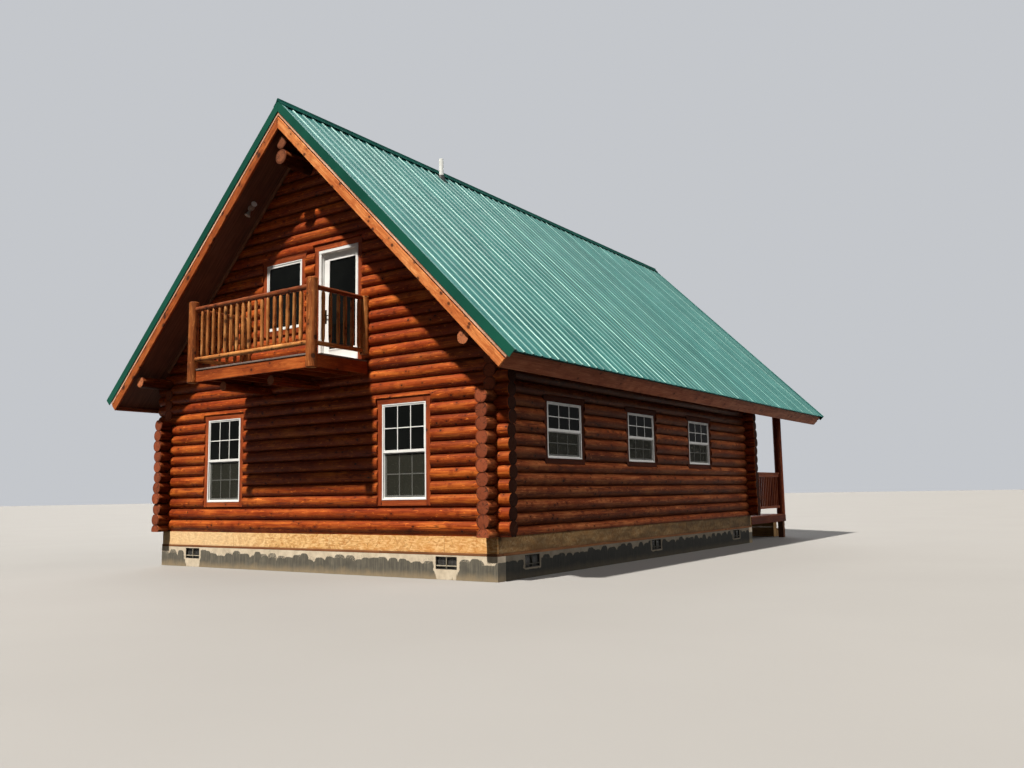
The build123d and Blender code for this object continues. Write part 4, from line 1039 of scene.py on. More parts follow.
def floor_sheets(name, x1, y0, y1, z0, z1, jz0, replaces):
    """Floor sheets in staggered rows on joists."""
    B = Build()
    rows = int(round((y1 - y0) / 1.22))
    for r in range(rows):
        a, b = y0 + (y1 - y0) * r / rows, y0 + (y1 - y0) * (r + 1) / rows
        run(B, -x1, x1, lambda p, q: bar(B, p, q, a + 0.001, b - 0.001, z0, z1, "x", bev=0.001, mi=(0, 0)), 2.44)
    n = int((y1 - y0) / 0.42)
    for i in range(n + 1):
        y = y0 + 0.03 + (y1 - y0 - 0.06) * i / n
        bar(B, -x1, x1, y - 0.019, y + 0.019, jz0, z0 - 0.0005, "x", bev=0.002, mi=(1, 1))
    return B.make(name, ["osb", "floor"], replaces, "floor_timber")


floor_sheets("ground_floor_sheets", HALF_W - BT - 0.002, BT + 0.002, LENGTH - BT - 0.002, -0.023, -0.001, SZ1 + 0.001, "ground_floor")
floor_sheets("loft_floor_sheets", AX - LOG_R - 0.004, AYF + LOG_R + 0.004, AYB - LOG_R - 0.004, 2.782, 2.811, 2.614, "loft_floor")

# ----------------------------------------------------------------------- roof
ys0, ys1 = ROOF_Y0 + 0.015, ROOF_Y1 - 0.015
RIB0, RIBP = -0.491, 0.2286


def rib_ys():
    y = RIB0
    out = []
    while y < ys1 - 0.03:
        out.append(y)
        y += RIBP
    return out


def roof_metal(name, sd_, replaces):
    prof = [(ys0, -0.010)]
    y = RIB0 - RIBP
    while y < ys1:
        for dy, q in ((-0.026, -0.010), (-0.011, 0.0095), (0.011, 0.0095), (0.026, -0.010),
                      (0.062, -0.010), (0.068, -0.0065), (0.084, -0.0065), (0.090, -0.010),
                      (0.138, -0.010), (0.144, -0.0065), (0.160, -0.0065), (0.166, -0.010)):
            yy = y + dy
            if ys0 + 0.002 < yy < ys1 - 0.002:
                prof.append((yy, q))
        y += RIBP
    prof.append((ys1, -0.010))
    prof = np.array(prof)
    n = len(prof)
    B = Build()
    rows, g = [], []
    ss = np.linspace(0.006, EAVE_S, 9)
    for dz in (0.0, -0.0012):
        for s in ss:
            q = prof[:, 1] + dz
            x = sd_ * (s + q) / RT
            z = RIDGE_Z - (s - q) / RT
            rows.append(np.stack([x, prof[:, 0], z], 1))
            g.append(np.stack([np.full(n, s), prof[:, 0], q], 1))
    k = len(ss)
    faces = []
    i = np.arange(n - 1)
    for r in range(k - 1):
        a, b = r * n, (r + 1) * n
        top = np.stack([a + i, b + i, b + i + 1, a + i + 1], 1)
        a, b = (k + r) * n, (k + r + 1) * n
        bot = np.stack([a + i, a + i + 1, b + i + 1, b + i], 1)
        faces += [tuple(f) for f in top.tolist()] + [tuple(f) for f in bot.tolist()]
        for e in (0, n - 1):
            q4 = (r * n + e, (r + 1) * n + e, (k + r + 1) * n + e, (k + r) * n + e)
            faces.append(q4[::-1] if e == 0 else q4)
    for r, rv in ((0, False), (k - 1, True)):
        a, b = r * n, (k + r) * n
        q4 = np.stack([a + i, a + i + 1, b + i + 1, b + i], 1)
        faces += [tuple(f[::-1] if rv else f) for f in q4.tolist()]
    if sd_ < 0:
        faces = [f[::-1] for f in faces]
    B.add(np.concatenate(rows), faces, np.concatenate(g), 0.3, 0)
    # hex screws with washers beside the ribs
    ring = np.array([(math.cos(t), math.sin(t)) for t in np.arange(6) * math.pi / 3])
    sv = [0.30] + list(np.arange(0.90, 6.70, 0.61)) + [6.74]
    A = np.array([sd_ / RT, 0, -1 / RT])
    Nn = np.array([sd_ / RT, 0, 1 / RT])
    fs = []
    for r in range(3):
        for i6 in range(6):
            fs.append((r * 6 + i6, r * 6 + (i6 + 1) % 6, (r + 1) * 6 + (i6 + 1) % 6, (r + 1) * 6 + i6))
    fs.append(tuple(range(18, 24)))
    fs.append(tuple(range(5, -1, -1)))
    for yr in rib_ys():
        for s in sv:
            y, s2 = yr + 0.042, s + rnd.uniform(-0.01, 0.01)
            base = np.array(slope_pt(s2, y, 0.0100, sd_))
            pts, gg = [], []
            for rad, hgt in ((0.0085, 0.0), (0.0085, 0.0022), (0.0055, 0.0024), (0.0048, 0.0075)):
                for cu, cv in ring:
                    pts.append(base + A * rad * cu + Y * rad * cv + Nn * hgt)
                    gg.append((s2, y, hgt))
            f = fs if sd_ < 0 else [q[::-1] for q in fs]
            B.add(pts, f, gg, 0.3, 0)
    return B.make(name, ["roof"], replaces, "roof_green", sharp=25)


roof_metal("roof_sheet_right", 1, "roof_metal_right")
roof_metal("roof_sheet_left", -1, "roof_metal_left")

# ridge cap in lapped lengths
B = Build()
half = [(0.1245, 0.0105), (0.1265, 0.0230), (0.1210, 0.0268), (0.056, 0.0280), (0.034, 0.0290)]


def cap_section(grow):
    out = []
    for s, q in half:
        out.append(((s + q + grow) / RT, RIDGE_Z - (s - q - grow) / RT))
    r, cz = 0.026 + grow, RIDGE_Z + 0.034
    for t in np.linspace(0.12, math.pi - 0.12, 13):
        out.append((r * math.cos(t), cz + r * math.sin(t)))
    for s, q in reversed(half):
        out.append((-(s + q + grow) / RT, RIDGE_Z - (s - q - grow) / RT))
    for s, q in ((0.123, 0.0098), (0.02, 0.0098)):
        out.append((-(s + q) / RT, RIDGE_Z - (s - q) / RT))
    for s, q in ((0.02, 0.0098), (0.123, 0.0098)):
        out.append(((s + q) / RT, RIDGE_Z - (s - q) / RT))
    return np.array(out)


p = ROOF_Y0
i = 0
while p < ROOF_Y1 - 0.01:
    q = min(ROOF_Y1, p + 3.05)
    sec = cap_section(0.0012 if i % 2 else 0.0)
    a = np.stack([sec[:, 0], np.full(len(sec), p + (0.0 if i == 0 else -0.06)), sec[:, 1]], 1)
    b = a.copy()
    b[:, 1] = q
    g0 = np.stack([np.abs(a[:, 0]), a[:, 1], a[:, 2] - RIDGE_Z], 1)
    g1 = np.stack([np.abs(b[:, 0]), b[:, 1], b[:, 2] - RIDGE_Z], 1)
    loft(B, a, b, g0, g1, 0.2, 0, 0)
    p, i = q, i + 1
B.make("ridge_cap_roll", ["capgreen"], "ridge_cap", "trim_green", sharp=40)

# rake trims: face, return on the roof and a folded lower hem
B = Build()
for y0, sg in ((ROOF_Y0, 1), (ROOF_Y1, -1)):
    for side_ in (-1, 1):
        prof = [(y0, 0.123), (y0, -0.0135), (y0 + sg * 0.002, -0.0150), (y0 + sg * 0.078, -0.0150), (y0 + sg * 0.082, -0.0110),
                (y0 + sg * 0.0145, -0.0110), (y0 + sg * 0.0145, 0.115), (y0 + sg * 0.0125, 0.125), (y0 + sg * 0.002, 0.125)]
        slope_prism(B, prof, 0, EAVE_S, side_, 0.4, [0, 0, 1, 1, 1, 0, 0, 0, 0], 0)
B.make("rake_trim_bends", ["trimgreen", "roof"], "rake_trims", "trim_green", sharp=30)

B = Build()
for y0, y1 in ((ROOF_Y0 + 0.015, ROOF_Y0 + 0.046), (ROOF_Y1 - 0.046, ROOF_Y1 - 0.015)):
    for side_ in (-1, 1):
        slope_prism(B, eased(y0, y1, 0.127, 0.170, 0.002), 0, BARGE_S, side_, rnd.random(), 0, 0)
B.make("rake_strip_boards", ["pale", "pale"], "rake_strips", "pale_strip", sharp=30)

B = Build()
for y0, y1 in ((ROOF_Y0 + 0.008, ROOF_Y0 + 0.046), (ROOF_Y1 - 0.046, ROOF_Y1 - 0.008)):
    for side_, mi in ((-1, 1), (1, 0)):
        slope_prism(B, eased(y0, y1, 0.192, 0.335, 0.004), 0, BARGE_S, side_, rnd.random(), mi, mi)
B.make("barge_board_pair", ["barge", "barge2"], "barge_boards", "stained_board", sharp=30)

# strips where the soffit meets the gable walls
B = Build()
for ya, yb in ((-0.075, -0.040), (LENGTH + 0.040, LENGTH + 0.075)):
    for side_ in (-1, 1):
        slope_prism(B, eased(ya, yb, 0.2715, 0.318, 0.003), 0.30, 5.79, side_, rnd.random(), 0, 0, plumb=False)
B.make("soffit_strips", ["frieze"], (), "stained_board", sharp=30)

# two-lamp light on the left soffit at the front
B = Build()
LN = np.array([1.0, 0.0, -1.0]) / RT
LS = np.array([-1.0, 0.0, -1.0]) / RT
LO = np.array([-1.17, -0.33, RIDGE_Z - 0.270 * RT - 1.17])


def turned(o, a, ss, r, mi, ch):
    a = a / np.linalg.norm(a)
    u = np.cross(a, Y)
    u = u / np.linalg.norm(u)
    tube(B, o, a, u, np.cross(a, u), ss, r, 0.4, segs=24, mi=mi, bow=0, lump=0, ch=ch, dome=0.0)


turned(LO, LN, [0.0008, 0.026], 0.064, (0, 0), 0.006)
for sg in (-1, 1):
    d = 0.55 * LN + sg * 0.80 * LS - 0.42 * Y
    d = d / np.linalg.norm(d)
    o = LO + LN * 0.022 + sg * 0.026 * LS
    turned(o, d, [0.0, 0.05], 0.015, (0, 0), 0.002)
    turned(o, d, [0.046, 0.060, 0.085, 0.120, 0.136],
           lambda s: np.interp(s, [0.046, 0.060, 0.085, 0.120, 0.136], [0.022, 0.030, 0.034, 0.052, 0.054]), (0, 1), 0.002)
B.make("soffit_lamp", ["lampgrey", "vinyl"], (), "vent_plastic", sharp=40)

# dark drip edge under the sheets at the eaves
B = Build()


def drip(p, q, side_):
    ring = [(6.8008, 0.0125), (6.8030, 0.0125), (6.8034, 0.0580), (6.8090, 0.0625), (6.8084, 0.0645), (6.8012, 0.0590)]
    a = np.array([slope_pt(s, p, h, side_) for s, h in ring])
    b = np.array([slope_pt(s, q, h, side_) for s, h in ring])
    g0 = np.array([(p, h, s) for s, h in ring])
    g1 = np.array([(q, h, s) for s, h in ring])
    loft(B, a, b, g0, g1, rnd.random(), 0, 0)


for side_ in (-1, 1):
    run(B, ROOF_Y0 + 0.049, ROOF_Y1 - 0.049, lambda p, q: drip(p, q, side_), 3.05)
B.make("eave_drip_edges", ["capgreen"], (), "trim_green", sharp=30)

# eave fascias in lengths, square to the slope
B = Build()


def fascia(p, q, side_):
    fy = [(p, q)]
    c = 0.004
    s0, s1, p0, p1 = FASCIA_S - FASCIA_T, FASCIA_S, 0.017, FASCIA_LOW
    ring = [(s0, p0), (s1 - c, p0), (s1, p0 + c), (s1, p1 - c), (s1 - c, p1), (s0 + c, p1), (s0, p1 - c)]
    a = np.array([slope_pt(s, p, h, side_) for s, h in ring])
    b = np.array([slope_pt(s, q, h, side_) for s, h in ring])
    g0 = np.array([(p, h - 0.18, s - FASCIA_S) for s, h in ring])
    g1 = np.array([(q, h - 0.18, s - FASCIA_S) for s, h in ring])
    loft(B, a, b, g0, g1, rnd.random(), 0, 0)


for side_ in (-1, 1):
    run(B, ROOF_Y0 + 0.048, ROOF_Y1 - 0.048, lambda p, q: fascia(p, q, side_), 4.88)
B.make("fascia_lengths", ["fascia", "fascia"], "fascia_boards", "red_board", sharp=30)

# -------------------------------------------------------------------- windows
FR, GL, SC, TR = {}, {}, {}, Build()


def window(B, G, S, c, A, N_, x0, x1, z0, z1, grid=True):
    """A single-hung unit. A runs along the wall, N_ points out; c is the wall face's origin."""
    c = np.asarray(c, float)

    def b(BB, a0, a1, zz0, zz1, n0, n1, bev=0.0015, mi=(0, 0)):
        cc = c + A * (a0 + a1) / 2 + N_ * (n0 + n1) / 2 + Z * (zz0 + zz1) / 2
        board(BB, cc, A, N_, Z, a1 - a0, n1 - n0, zz1 - zz0, rnd.random(), bev, mi)

    def frame_ring(a0, a1, zz0, zz1, w, n0, n1, wt=None):
        wt = w if wt is None else wt
        b(B, a0, a1, zz1 - wt, zz1, n0, n1)
        b(B, a0, a1, zz0, zz0 + w, n0, n1)
        b(B, a0, a0 + w, zz0 + w, zz1 - wt, n0, n1)
        b(B, a1 - w, a1, zz0 + w, zz1 - wt, n0, n1)

    def grille(a0, a1, zz0, zz1, n0, n1):
        for i in (1, 2):
            a = a0 + (a1 - a0) * i / 3
            b(B, a - 0.0075, a + 0.0075, zz0, zz1, n0, n1)
        zc = (zz0 + zz1) / 2
        for i in range(3):
            aa = a0 + (a1 - a0) * i / 3 + (0.0075 if i else 0)
            ab = a0 + (a1 - a0) * (i + 1) / 3 - (0.0075 if i < 2 else 0)
            b(B, aa, ab, zc - 0.0075, zc + 0.0075, n0, n1)

    frame_ring(x0, x1, z0, z1, 0.026, -0.082, 0.003, 0.019)
    frame_ring(x0 + 0.026, x1 - 0.026, z0 + 0.026, z1 - 0.019, 0.006, -0.080, -0.030)
    zm = (z0 + z1) / 2
    e = 0.030
    if not grid:
        # a fixed unit with one pane
        frame_ring(x0 + e, x1 - e, z0 + e, z1 - e, 0.026, -0.037, -0.006)
        b(G, x0 + e + 0.022, x1 - e - 0.022, z0 + e + 0.022, z1 - e - 0.022, -0.026, -0.0205, 0.0005)
    else:
        # upper sash
        u0, u1, uz0, uz1 = x0 + e, x1 - e, zm - 0.020, z1 - 0.024
        b(B, u0, u1, uz1 - 0.018, uz1, -0.030, -0.005)
        b(B, u0, u0 + 0.018, uz0 + 0.044, uz1 - 0.018, -0.030, -0.005)
        b(B, u1 - 0.018, u1, uz0 + 0.044, uz1 - 0.018, -0.030, -0.005)
        b(B, u0, u1, uz0, uz0 + 0.044, -0.036, 0.000)
        grille(u0 + 0.018, u1 - 0.018, uz0 + 0.044, uz1 - 0.018, -0.0140, -0.0080)
        b(G, u0 + 0.015, u1 - 0.015, uz0 + 0.040, uz1 - 0.015, -0.0195, -0.0150, 0.0005)
        # lower sash, one track further in
        l0, l1, lz0, lz1 = x0 + e, x1 - e, z0 + 0.026, zm + 0.012
        b(B, l0, l1, lz0, lz0 + 0.046, -0.066, -0.040)
        b(B, l0, l1, lz1 - 0.034, lz1, -0.066, -0.040)
        b(B, l0, l0 + 0.030, lz0 + 0.046, lz1 - 0.034, -0.066, -0.040)
        b(B, l1 - 0.030, l1, lz0 + 0.046, lz1 - 0.034, -0.066, -0.040)
        grille(l0 + 0.030, l1 - 0.030, lz0 + 0.046, lz1 - 0.034, -0.051, -0.045)
        b(G, l0 + 0.026, l1 - 0.026, lz0 + 0.042, lz1 - 0.030, -0.058, -0.0535, 0.0005)
        # half screen in front of the lower sash
        s0_, s1_, sz0, sz1 = x0 + 0.028, x1 - 0.028, z0 + 0.027, zm - 0.022
        for a0, a1, q0, q1 in ((s0_, s1_, sz1 - 0.012, sz1), (s0_, s1_, sz0, sz0 + 0.014), (s0_, s0_ + 0.013, sz0 + 0.014, sz1 - 0.012),
                               (s1_ - 0.013, s1_, sz0 + 0.014, sz1 - 0.012)):
            b(B, a0, a1, q0, q1, -0.034, -0.024)
        b(S, s0_ + 0.010, s1_ - 0.010, sz0 + 0.012, sz1 - 0.010, -0.0300, -0.0285, 0.0002)
    # sill lip
    b(B, x0 + 0.004, x1 - 0.004, z0 + 0.001, z0 + 0.016, 0.003, 0.009)


def trim_set(c, A, N_, x0, x1, z0, z1, bottom=True):
    """Boards round an opening, 90 mm wide, the head one a little longer with flared ends, and a dark drip edge on it."""
    c = np.asarray(c, float)
    # trims on the side walls take the darkened board, painted shade
    m0 = 2 if abs(N_[0]) > 0.5 else 0

    def b(a0, a1, zz0, zz1, n0, n1, along, mi=(m0, m0)):
        cc = c + A * (a0 + a1) / 2 + N_ * (n0 + n1) / 2 + Z * (zz0 + zz1) / 2
        if along == "z":
            board(TR, cc, Z, A, N_, zz1 - zz0, a1 - a0, n1 - n0, rnd.random(), 0.003, mi)
        else:
            board(TR, cc, A, N_, Z, a1 - a0, n1 - n0, zz1 - zz0, rnd.random(), 0.003, mi)
    g = 0.002
    zb = z0 - (TRIM if bottom else 0.0)
    b(x0 - TRIM, x0 - g, zb, z1 + g, -0.0195, 0.005, "z")
    b(x1 + g, x1 + TRIM, zb, z1 + g, -0.0195, 0.005, "z")
    if bottom:
        b(x0 - g, x1 + g, zb, z0 - g, -0.0195, 0.004, "a")
    k = []
    h0, h1, f = z1 + 2 * g, z1 + TRIM, 0.022
    ring = [(x0 - TRIM - 0.002, h0), (x1 + TRIM + 0.002, h0), (x1 + TRIM + f, h1), (x0 - TRIM - f, h1)]
    for n0 in (-0.0195, 0.0055):
        k.append(np.array([c + A * a + N_ * n0 + Z * z for a, z in ring]))
    gg = [np.array([(a, n0, z) for a, z in ring]) for n0 in (-0.0195, 0.0055)]
    loft(TR, k[0], k[1], gg[0], gg[1], rnd.random(), m0, m0)
    b(x0 - TRIM - f - 0.004, x1 + TRIM + f + 0.004, h1 + 0.0005, h1 + 0.007, -0.0195, 0.009, "a", (m0 or 1, m0 or 1))


def unit(key, c, A, N_, w, grid=True):
    for D in (FR, GL, SC):
        D.setdefault(key, Build())
    window(FR[key], GL[key], SC[key], c, A, N_, *w, grid=grid)
    trim_set(c, A, N_, *w)


for w in FRONT_WIN:
    unit("front", (0, 0, 0), X, -Y, w)
    unit("back", (0, LENGTH, 0), X, Y, w)
unit("front", (0, 0, 0), X, -Y, GABLE_WIN, False)
unit("back", (0, LENGTH, 0), X, Y, BACK_WIN, False)
for w in SIDE_WIN:
    unit("right", (HALF_W, 0, 0), Y, X, w)
    unit("left", (-HALF_W, 0, 0), Y, -X, w)
trim_set((0, 0, 0), X, -Y, *DOOR, bottom=False)
trim_set((0, LENGTH, 0), X, Y, *ENTRY, bottom=False)
for key in ("front", "back", "right", "left"):
    FR[key].make(key + "_sashes", ["vinyl"], key + "_window_frames", "white_vinyl", sharp=30)
    GL[key].make(key + "_panes", ["glass"], key + "_window_glass", "window_glass", sharp=30)
    SC[key].make(key + "_screens", ["screen"], (), "window_glass", sharp=30)
TR.make("opening_trims", ["board", "red", "board_side"], "window_trims", "stained_board", sharp=30)


# --------------------------------------------------------------- balcony door
def part(B, x0, x1, y0, y1, z0, z1, along="z", bev=0.002, mi=(0, 0)):
    bar(B, x0, x1, y0, y1, z0, z1, along, None, bev, mi)


dx0, dx1, dz0, dz1 = DOOR
B = Build()
DF = 0.063
for a0, a1 in ((dx0, dx0 + DF), (dx1 - DF, dx1)):
    part(B, a0, a1, 0.0, 0.110, dz0, dz1 - DF)
    part(B, a0 + 0.006, a1 - 0.006, -0.006, -0.0005, dz0, dz1 - DF)
part(B, dx0, dx1, 0.0, 0.110, dz1 - DF, dz1, "x")
part(B, dx0 + 0.004, dx1 - 0.004, -0.008, -0.0005, dz1 - DF + 0.008, dz1 - 0.006, "x")
part(B, dx0 + DF, dx1 - DF, 0.0, 0.110, dz0, dz0 + 0.040, "x")
part(B, dx0 + DF, dx1 - DF, 0.0, 0.060, dz0 + 0.0405, dz0 + 0.052, "x", 0.001)
for a0, a1 in ((dx0 + DF, dx0 + DF + 0.012), (dx1 - DF - 0.012, dx1 - DF)):
    part(B, a0, a1, 0.040, 0.061, dz0 + 0.052, dz1 - DF)
B.make("balcony_door_jambs", ["vinyl"], "balcony_door_frame", "white_vinyl", sharp=30)
B = Build()
lx0, lx1, lz0, lz1 = dx0 + DF + 0.003, dx1 - DF - 0.003, dz0 + DF + 0.002, dz1 - DF - 0.003
gx0, gx1, gz0, gz1 = lx0 + 0.130, lx1 - 0.040, lz0 + 0.215, lz1 - 0.115
ly0, ly1 = 0.0625, 0.106
part(B, lx0, gx0, ly0, ly1, lz0, lz1)
part(B, gx1, lx1, ly0, ly1, lz0, lz1)
part(B, gx0, gx1, ly0, ly1, lz0, gz0, "x")
part(B, gx0, gx1, ly0, ly1, gz1, lz1, "x")
for a0, a1, q0, q1, al in ((gx0 - 0.014, gx0 + 0.010, gz0 - 0.012, gz1 + 0.012, "z"), (gx1 - 0.010, gx1 + 0.014, gz0 - 0.012, gz1 + 0.012, "z"),
                           (gx0 + 0.010, gx1 - 0.010, gz0 - 0.012, gz0 + 0.012, "x"), (gx0 + 0.010, gx1 - 0.010, gz1 - 0.012, gz1 + 0.012, "x")):
    part(B, a0, a1, ly0 - 0.009, ly0 - 0.0005, q0, q1, al, 0.003)
for hz_ in (lz0 + 0.20, (lz0 + lz1) / 2, lz1 - 0.20):
    tube(B, (lx1 + 0.001, 0.056, hz_), Z, X, Y, [-0.05, 0.05], 0.006, 0.2, segs=12, mi=(0, 0), bow=0, lump=0, ch=0.001, dome=0.0)
B.make("balcony_door_leaf", ["vinyl"], "balcony_door", "white_vinyl", sharp=30)
B = Build()
part(B, gx0 - 0.004, gx1 + 0.004, 0.074, 0.094, gz0 - 0.004, gz1 + 0.004, "z", 0.0005)
B.make("balcony_door_pane", ["glass"], "balcony_door_glass", "window_glass", sharp=30)
B = Build()
hz_ = 3.6975
part(B, lx0 + 0.032, lx0 + 0.070, 0.0560, 0.0620, hz_ - 0.120, hz_ + 0.120, "z", 0.003)
tube(B, (lx0 + 0.051, 0, hz_ + 0.010), Y, X, Z, [0.022, 0.056], 0.010, 0.3, segs=16, mi=(0, 0), bow=0, lump=0, ch=0.001, dome=0.0)
tube(B, (0, 0.024, hz_ + 0.010), X, Y, Z, [lx0 + 0.045, lx0 + 0.10, lx0 + 0.155], 0.0085, 0.3, segs=16, mi=(0, 0), bow=0, lump=0, ch=0.002, dome=0.001)
tube(B, (lx0 + 0.051, 0, hz_ + 0.085), Y, X, Z, [0.050, 0.056], 0.016, 0.3, segs=20, mi=(0, 0), bow=0, lump=0, ch=0.002, dome=0.001)
B.make("balcony_door_lever", ["bronze"], "balcony_door_handle", "handle_metal", sharp=30)

# ----------------------------------------------------------------- entry door
ex0, ex1, ez0, ez1 = ENTRY
B = Build()
EF = 0.060
YB = LENGTH
for a0, a1 in ((ex0, ex0 + EF), (ex1 - EF, ex1)):
    part(B, a0, a1, YB - 0.110, YB, ez0, ez1 - EF)
    part(B, a0 + (EF if a0 < 0 else -0.012), a0 + (EF + 0.012 if a0 < 0 else 0.0), YB - 0.050, YB - 0.030, ez0 + 0.030, ez1 - EF)
part(B, ex0, ex1, YB - 0.110, YB, ez1 - EF, ez1, "x")
part(B, ex0 + EF, ex1 - EF, YB - 0.110, YB + 0.010, ez0, ez0 + 0.028, "x", 0.004)
B.make("entry_door_jambs", ["board"], "entry_door_frame", "stained_board", sharp=30)
B = Build()
l0, l1, q0, q1 = ex0 + EF + 0.003, ex1 - EF - 0.003, ez0 + 0.034, ez1 - EF - 0.003
y0, y1 = YB - 0.098, YB - 0.056
stile = 0.115
part(B, l0, l0 + stile, y0, y1, q0, q1)
part(B, l1 - stile, l1, y0, y1, q0, q1)
rails = ((q0, q0 + 0.20), (q0 + 0.88, q0 + 1.03), (q1 - 0.13, q1))
for a, b in rails:
    part(B, l0 + stile, l1 - stile, y0, y1, a, b, "x")
for (a, b), (c_, d) in zip(rails[:-1], rails[1:]):
    part(B, -0.05, 0.05, y0, y1, b, c_)
    for p0, p1 in ((l0 + stile, -0.05), (0.05, l1 - stile)):
        part(B, p0, p1, y0 + 0.006, y1 - 0.014, b, c_)
        part(B, p0 + 0.035, p1 - 0.035, y0 + 0.004, y1 - 0.005, b + 0.035, c_ - 0.035, "z", 0.009)
tube(B, (0.345, 0, 1.010), Y, X, Z, [y1 + 0.0005, y1 + 0.006], 0.030, 0.3, segs=24, mi=(1, 1), bow=0, lump=0, ch=0.002, dome=0.0)
tube(B, (0.345, 0, 1.010), Y, X, Z, [y1 + 0.006, y1 + 0.02, y1 + 0.036, y1 + 0.050, y1 + 0.062, y1 + 0.070],
     lambda s: {0: 0.011, 1: 0.011, 2: 0.017, 3: 0.027, 4: 0.026, 5: 0.016}[min(5, max(0, int(round((s - y1 - 0.006) / 0.0128))))],
     0.3, segs=24, mi=(1, 1), bow=0, lump=0, ch=0.002, dome=0.003)
B.make("entry_door_panels", ["red", "bronze"], "entry_door", "red_board", sharp=30)

# -------------------------------------------------------------------- balcony
B = Build()
for x in (0.230, -0.970):
    tube(B, (x, 0, 2.510), Y, X, Z, spread(-1.0, 2.0), 0.083, rnd.random(), segs=30, bow=0.002)
B.make("balcony_joist_logs", ["log", "log_end_pale"], "balcony_joists", "stained_log")

B = Build()
T38 = 0.038
rz0, rz1 = 2.602, 2.795
bxr, bxl, byf = 1.455, -1.610, -1.190
bar(B, bxl + T38 + 0.001, bxr - T38 - 0.001, byf, byf + T38, rz0, rz1, "x", bev=0.004)
bar(B, bxr - T38, bxr, byf + 0.002, -0.032, rz0, rz1, "y", bev=0.004)
bar(B, bxl, bxl + T38, byf + 0.002, -0.032, rz0, rz1, "y", bev=0.004)
bar(B, bxl + T38 + 0.001, bxr - T38 - 0.001, -0.032 - T38, -0.032, rz0, rz1, "x", bev=0.004)
for i in range(1, 7):
    x = bxl + (bxr - bxl) * i / 7
    bar(B, x - 0.019, x + 0.019, byf + T38 + 0.001, -0.032 - T38 - 0.001, rz0 + 0.006, rz1, "y", bev=0.003)
B.make("balcony_rim_boards", ["rim", "rim"], "balcony_frame", "red_board", sharp=30)
B = Build()
y = byf - 0.014
while y < -0.10:
    y2 = min(y + 0.140, -0.033)
    cutx = (bxl - 0.006, bxr + 0.006)
    if y < -1.10:
        cutx = (POST_XL + POST_R + 0.004, POST_XR - POST_R - 0.004)
    bar(B, cutx[0], cutx[1], y, y2, 2.797, 2.8255, "x", bev=0.004)
    y = y2 + 0.005
B.make("balcony_deck_boards", ["deckgrey", "deckgrey"], "balcony_deck", "grey_decking", sharp=30)

B = Build()
for x in (POST_XR, POST_XL):
    tube(B, (x, POST_Y, 0), Z, X, Y, spread(2.590, 4.000, 0.12), lambda s: 0.087 * (1 + 0.02 * math.sin(3.1 * s)), rnd.random(), segs=32,
         bow=0.002, vbow=0.002, lump=0.012, ch=0.012)
B.make("balcony_post_poles", ["post", "pole_end"], "balcony_posts", "peeled_log")


def picket(B, x, y, z0, z1, seed, r=0.0305):
    """A peeled picket whose ends narrow to tenons in the rails."""
    r_ = np.random.default_rng(int(seed * 1e6))
    k = r_.uniform(0.9, 1.1)
    lean = r_.uniform(-0.004, 0.004, 2)

    def rad(s):
        t = (s - z0) / (z1 - z0)
        e = min(t, 1 - t)
        sh = min(1.0, max(0.0, e / 0.085))
        return k * (0.015 + (r * (1.0 + 0.05 * math.sin(9 * s + 7 * seed)) - 0.015) * (sh * sh * (3 - 2 * sh)))
    tube(B, (x + lean[0], y + lean[1], 0), Z, X, Y, np.linspace(z0, z1, 17), rad, seed, segs=16, bow=0.002, vbow=0.002, lump=0.03, ch=0.002)


RT_Z, RB_Z = 3.866, 2.990
B = Build()
fx0, fx1 = POST_XL + POST_R - 0.01, POST_XR - POST_R + 0.01
tube(B, (0, POST_Y, RT_Z), X, Y, Z, spread(fx0, fx1, 0.15), lambda s: 0.042 * (1 + 0.05 * math.sin(2.0 * s)), 0.331, segs=24, bow=0.004, vbow=0.003, lump=0.025, mi=(2, 1))
tube(B, (0, POST_Y, RB_Z), X, Y, Z, spread(fx0, fx1, 0.15), lambda s: 0.039 * (1 + 0.05 * math.sin(1.7 * s + 1)), 0.671, segs=24, bow=0.003, vbow=0.003, lump=0.025)
step = (fx1 - fx0 - 0.02) / 18
for i in range(17):
    picket(B, fx0 + 0.01 + step * (i + 1), POST_Y, RB_Z + 0.022, RT_Z - 0.022, rnd.random())
B.make("balcony_front_railing", ["pole", "pole_end", "toprail"], "balcony_railing_front", "peeled_log")


def side_rail(name, x, replaces):
    B = Build()
    a, b = POST_Y + POST_R - 0.01, -0.036
    tube(B, (x, 0, RT_Z), Y, X, Z, spread(a, b, 0.15), 0.039, rnd.random(), segs=24, bow=0.003, vbow=0.002, lump=0.025, mi=(2, 1))
    tube(B, (x, 0, RB_Z), Y, X, Z, spread(a, b, 0.15), 0.036, rnd.random(), segs=24, bow=0.003, vbow=0.002, lump=0.025)
    for i in range(6):
        picket(B, x, -0.957 + 0.157 * i, RB_Z + 0.022, RT_Z - 0.022, rnd.random())

    def cut(sv, u, v):
        return u, np.minimum(v, 0.0)
    tube(B, (x, -0.033, 0), Z, X, Y, spread(2.930, 3.895, 0.12), 0.087, rnd.random(), segs=32, mod=cut, bow=0.0, lump=0.01, ch=0.008)
    B.make(name, ["pole", "pole_end", "toprail"], replaces, "peeled_log")


side_rail("balcony_right_railing", POST_XR, "balcony_railing_right")
side_rail("balcony_left_railing", POST_XL, "balcony_railing_left")

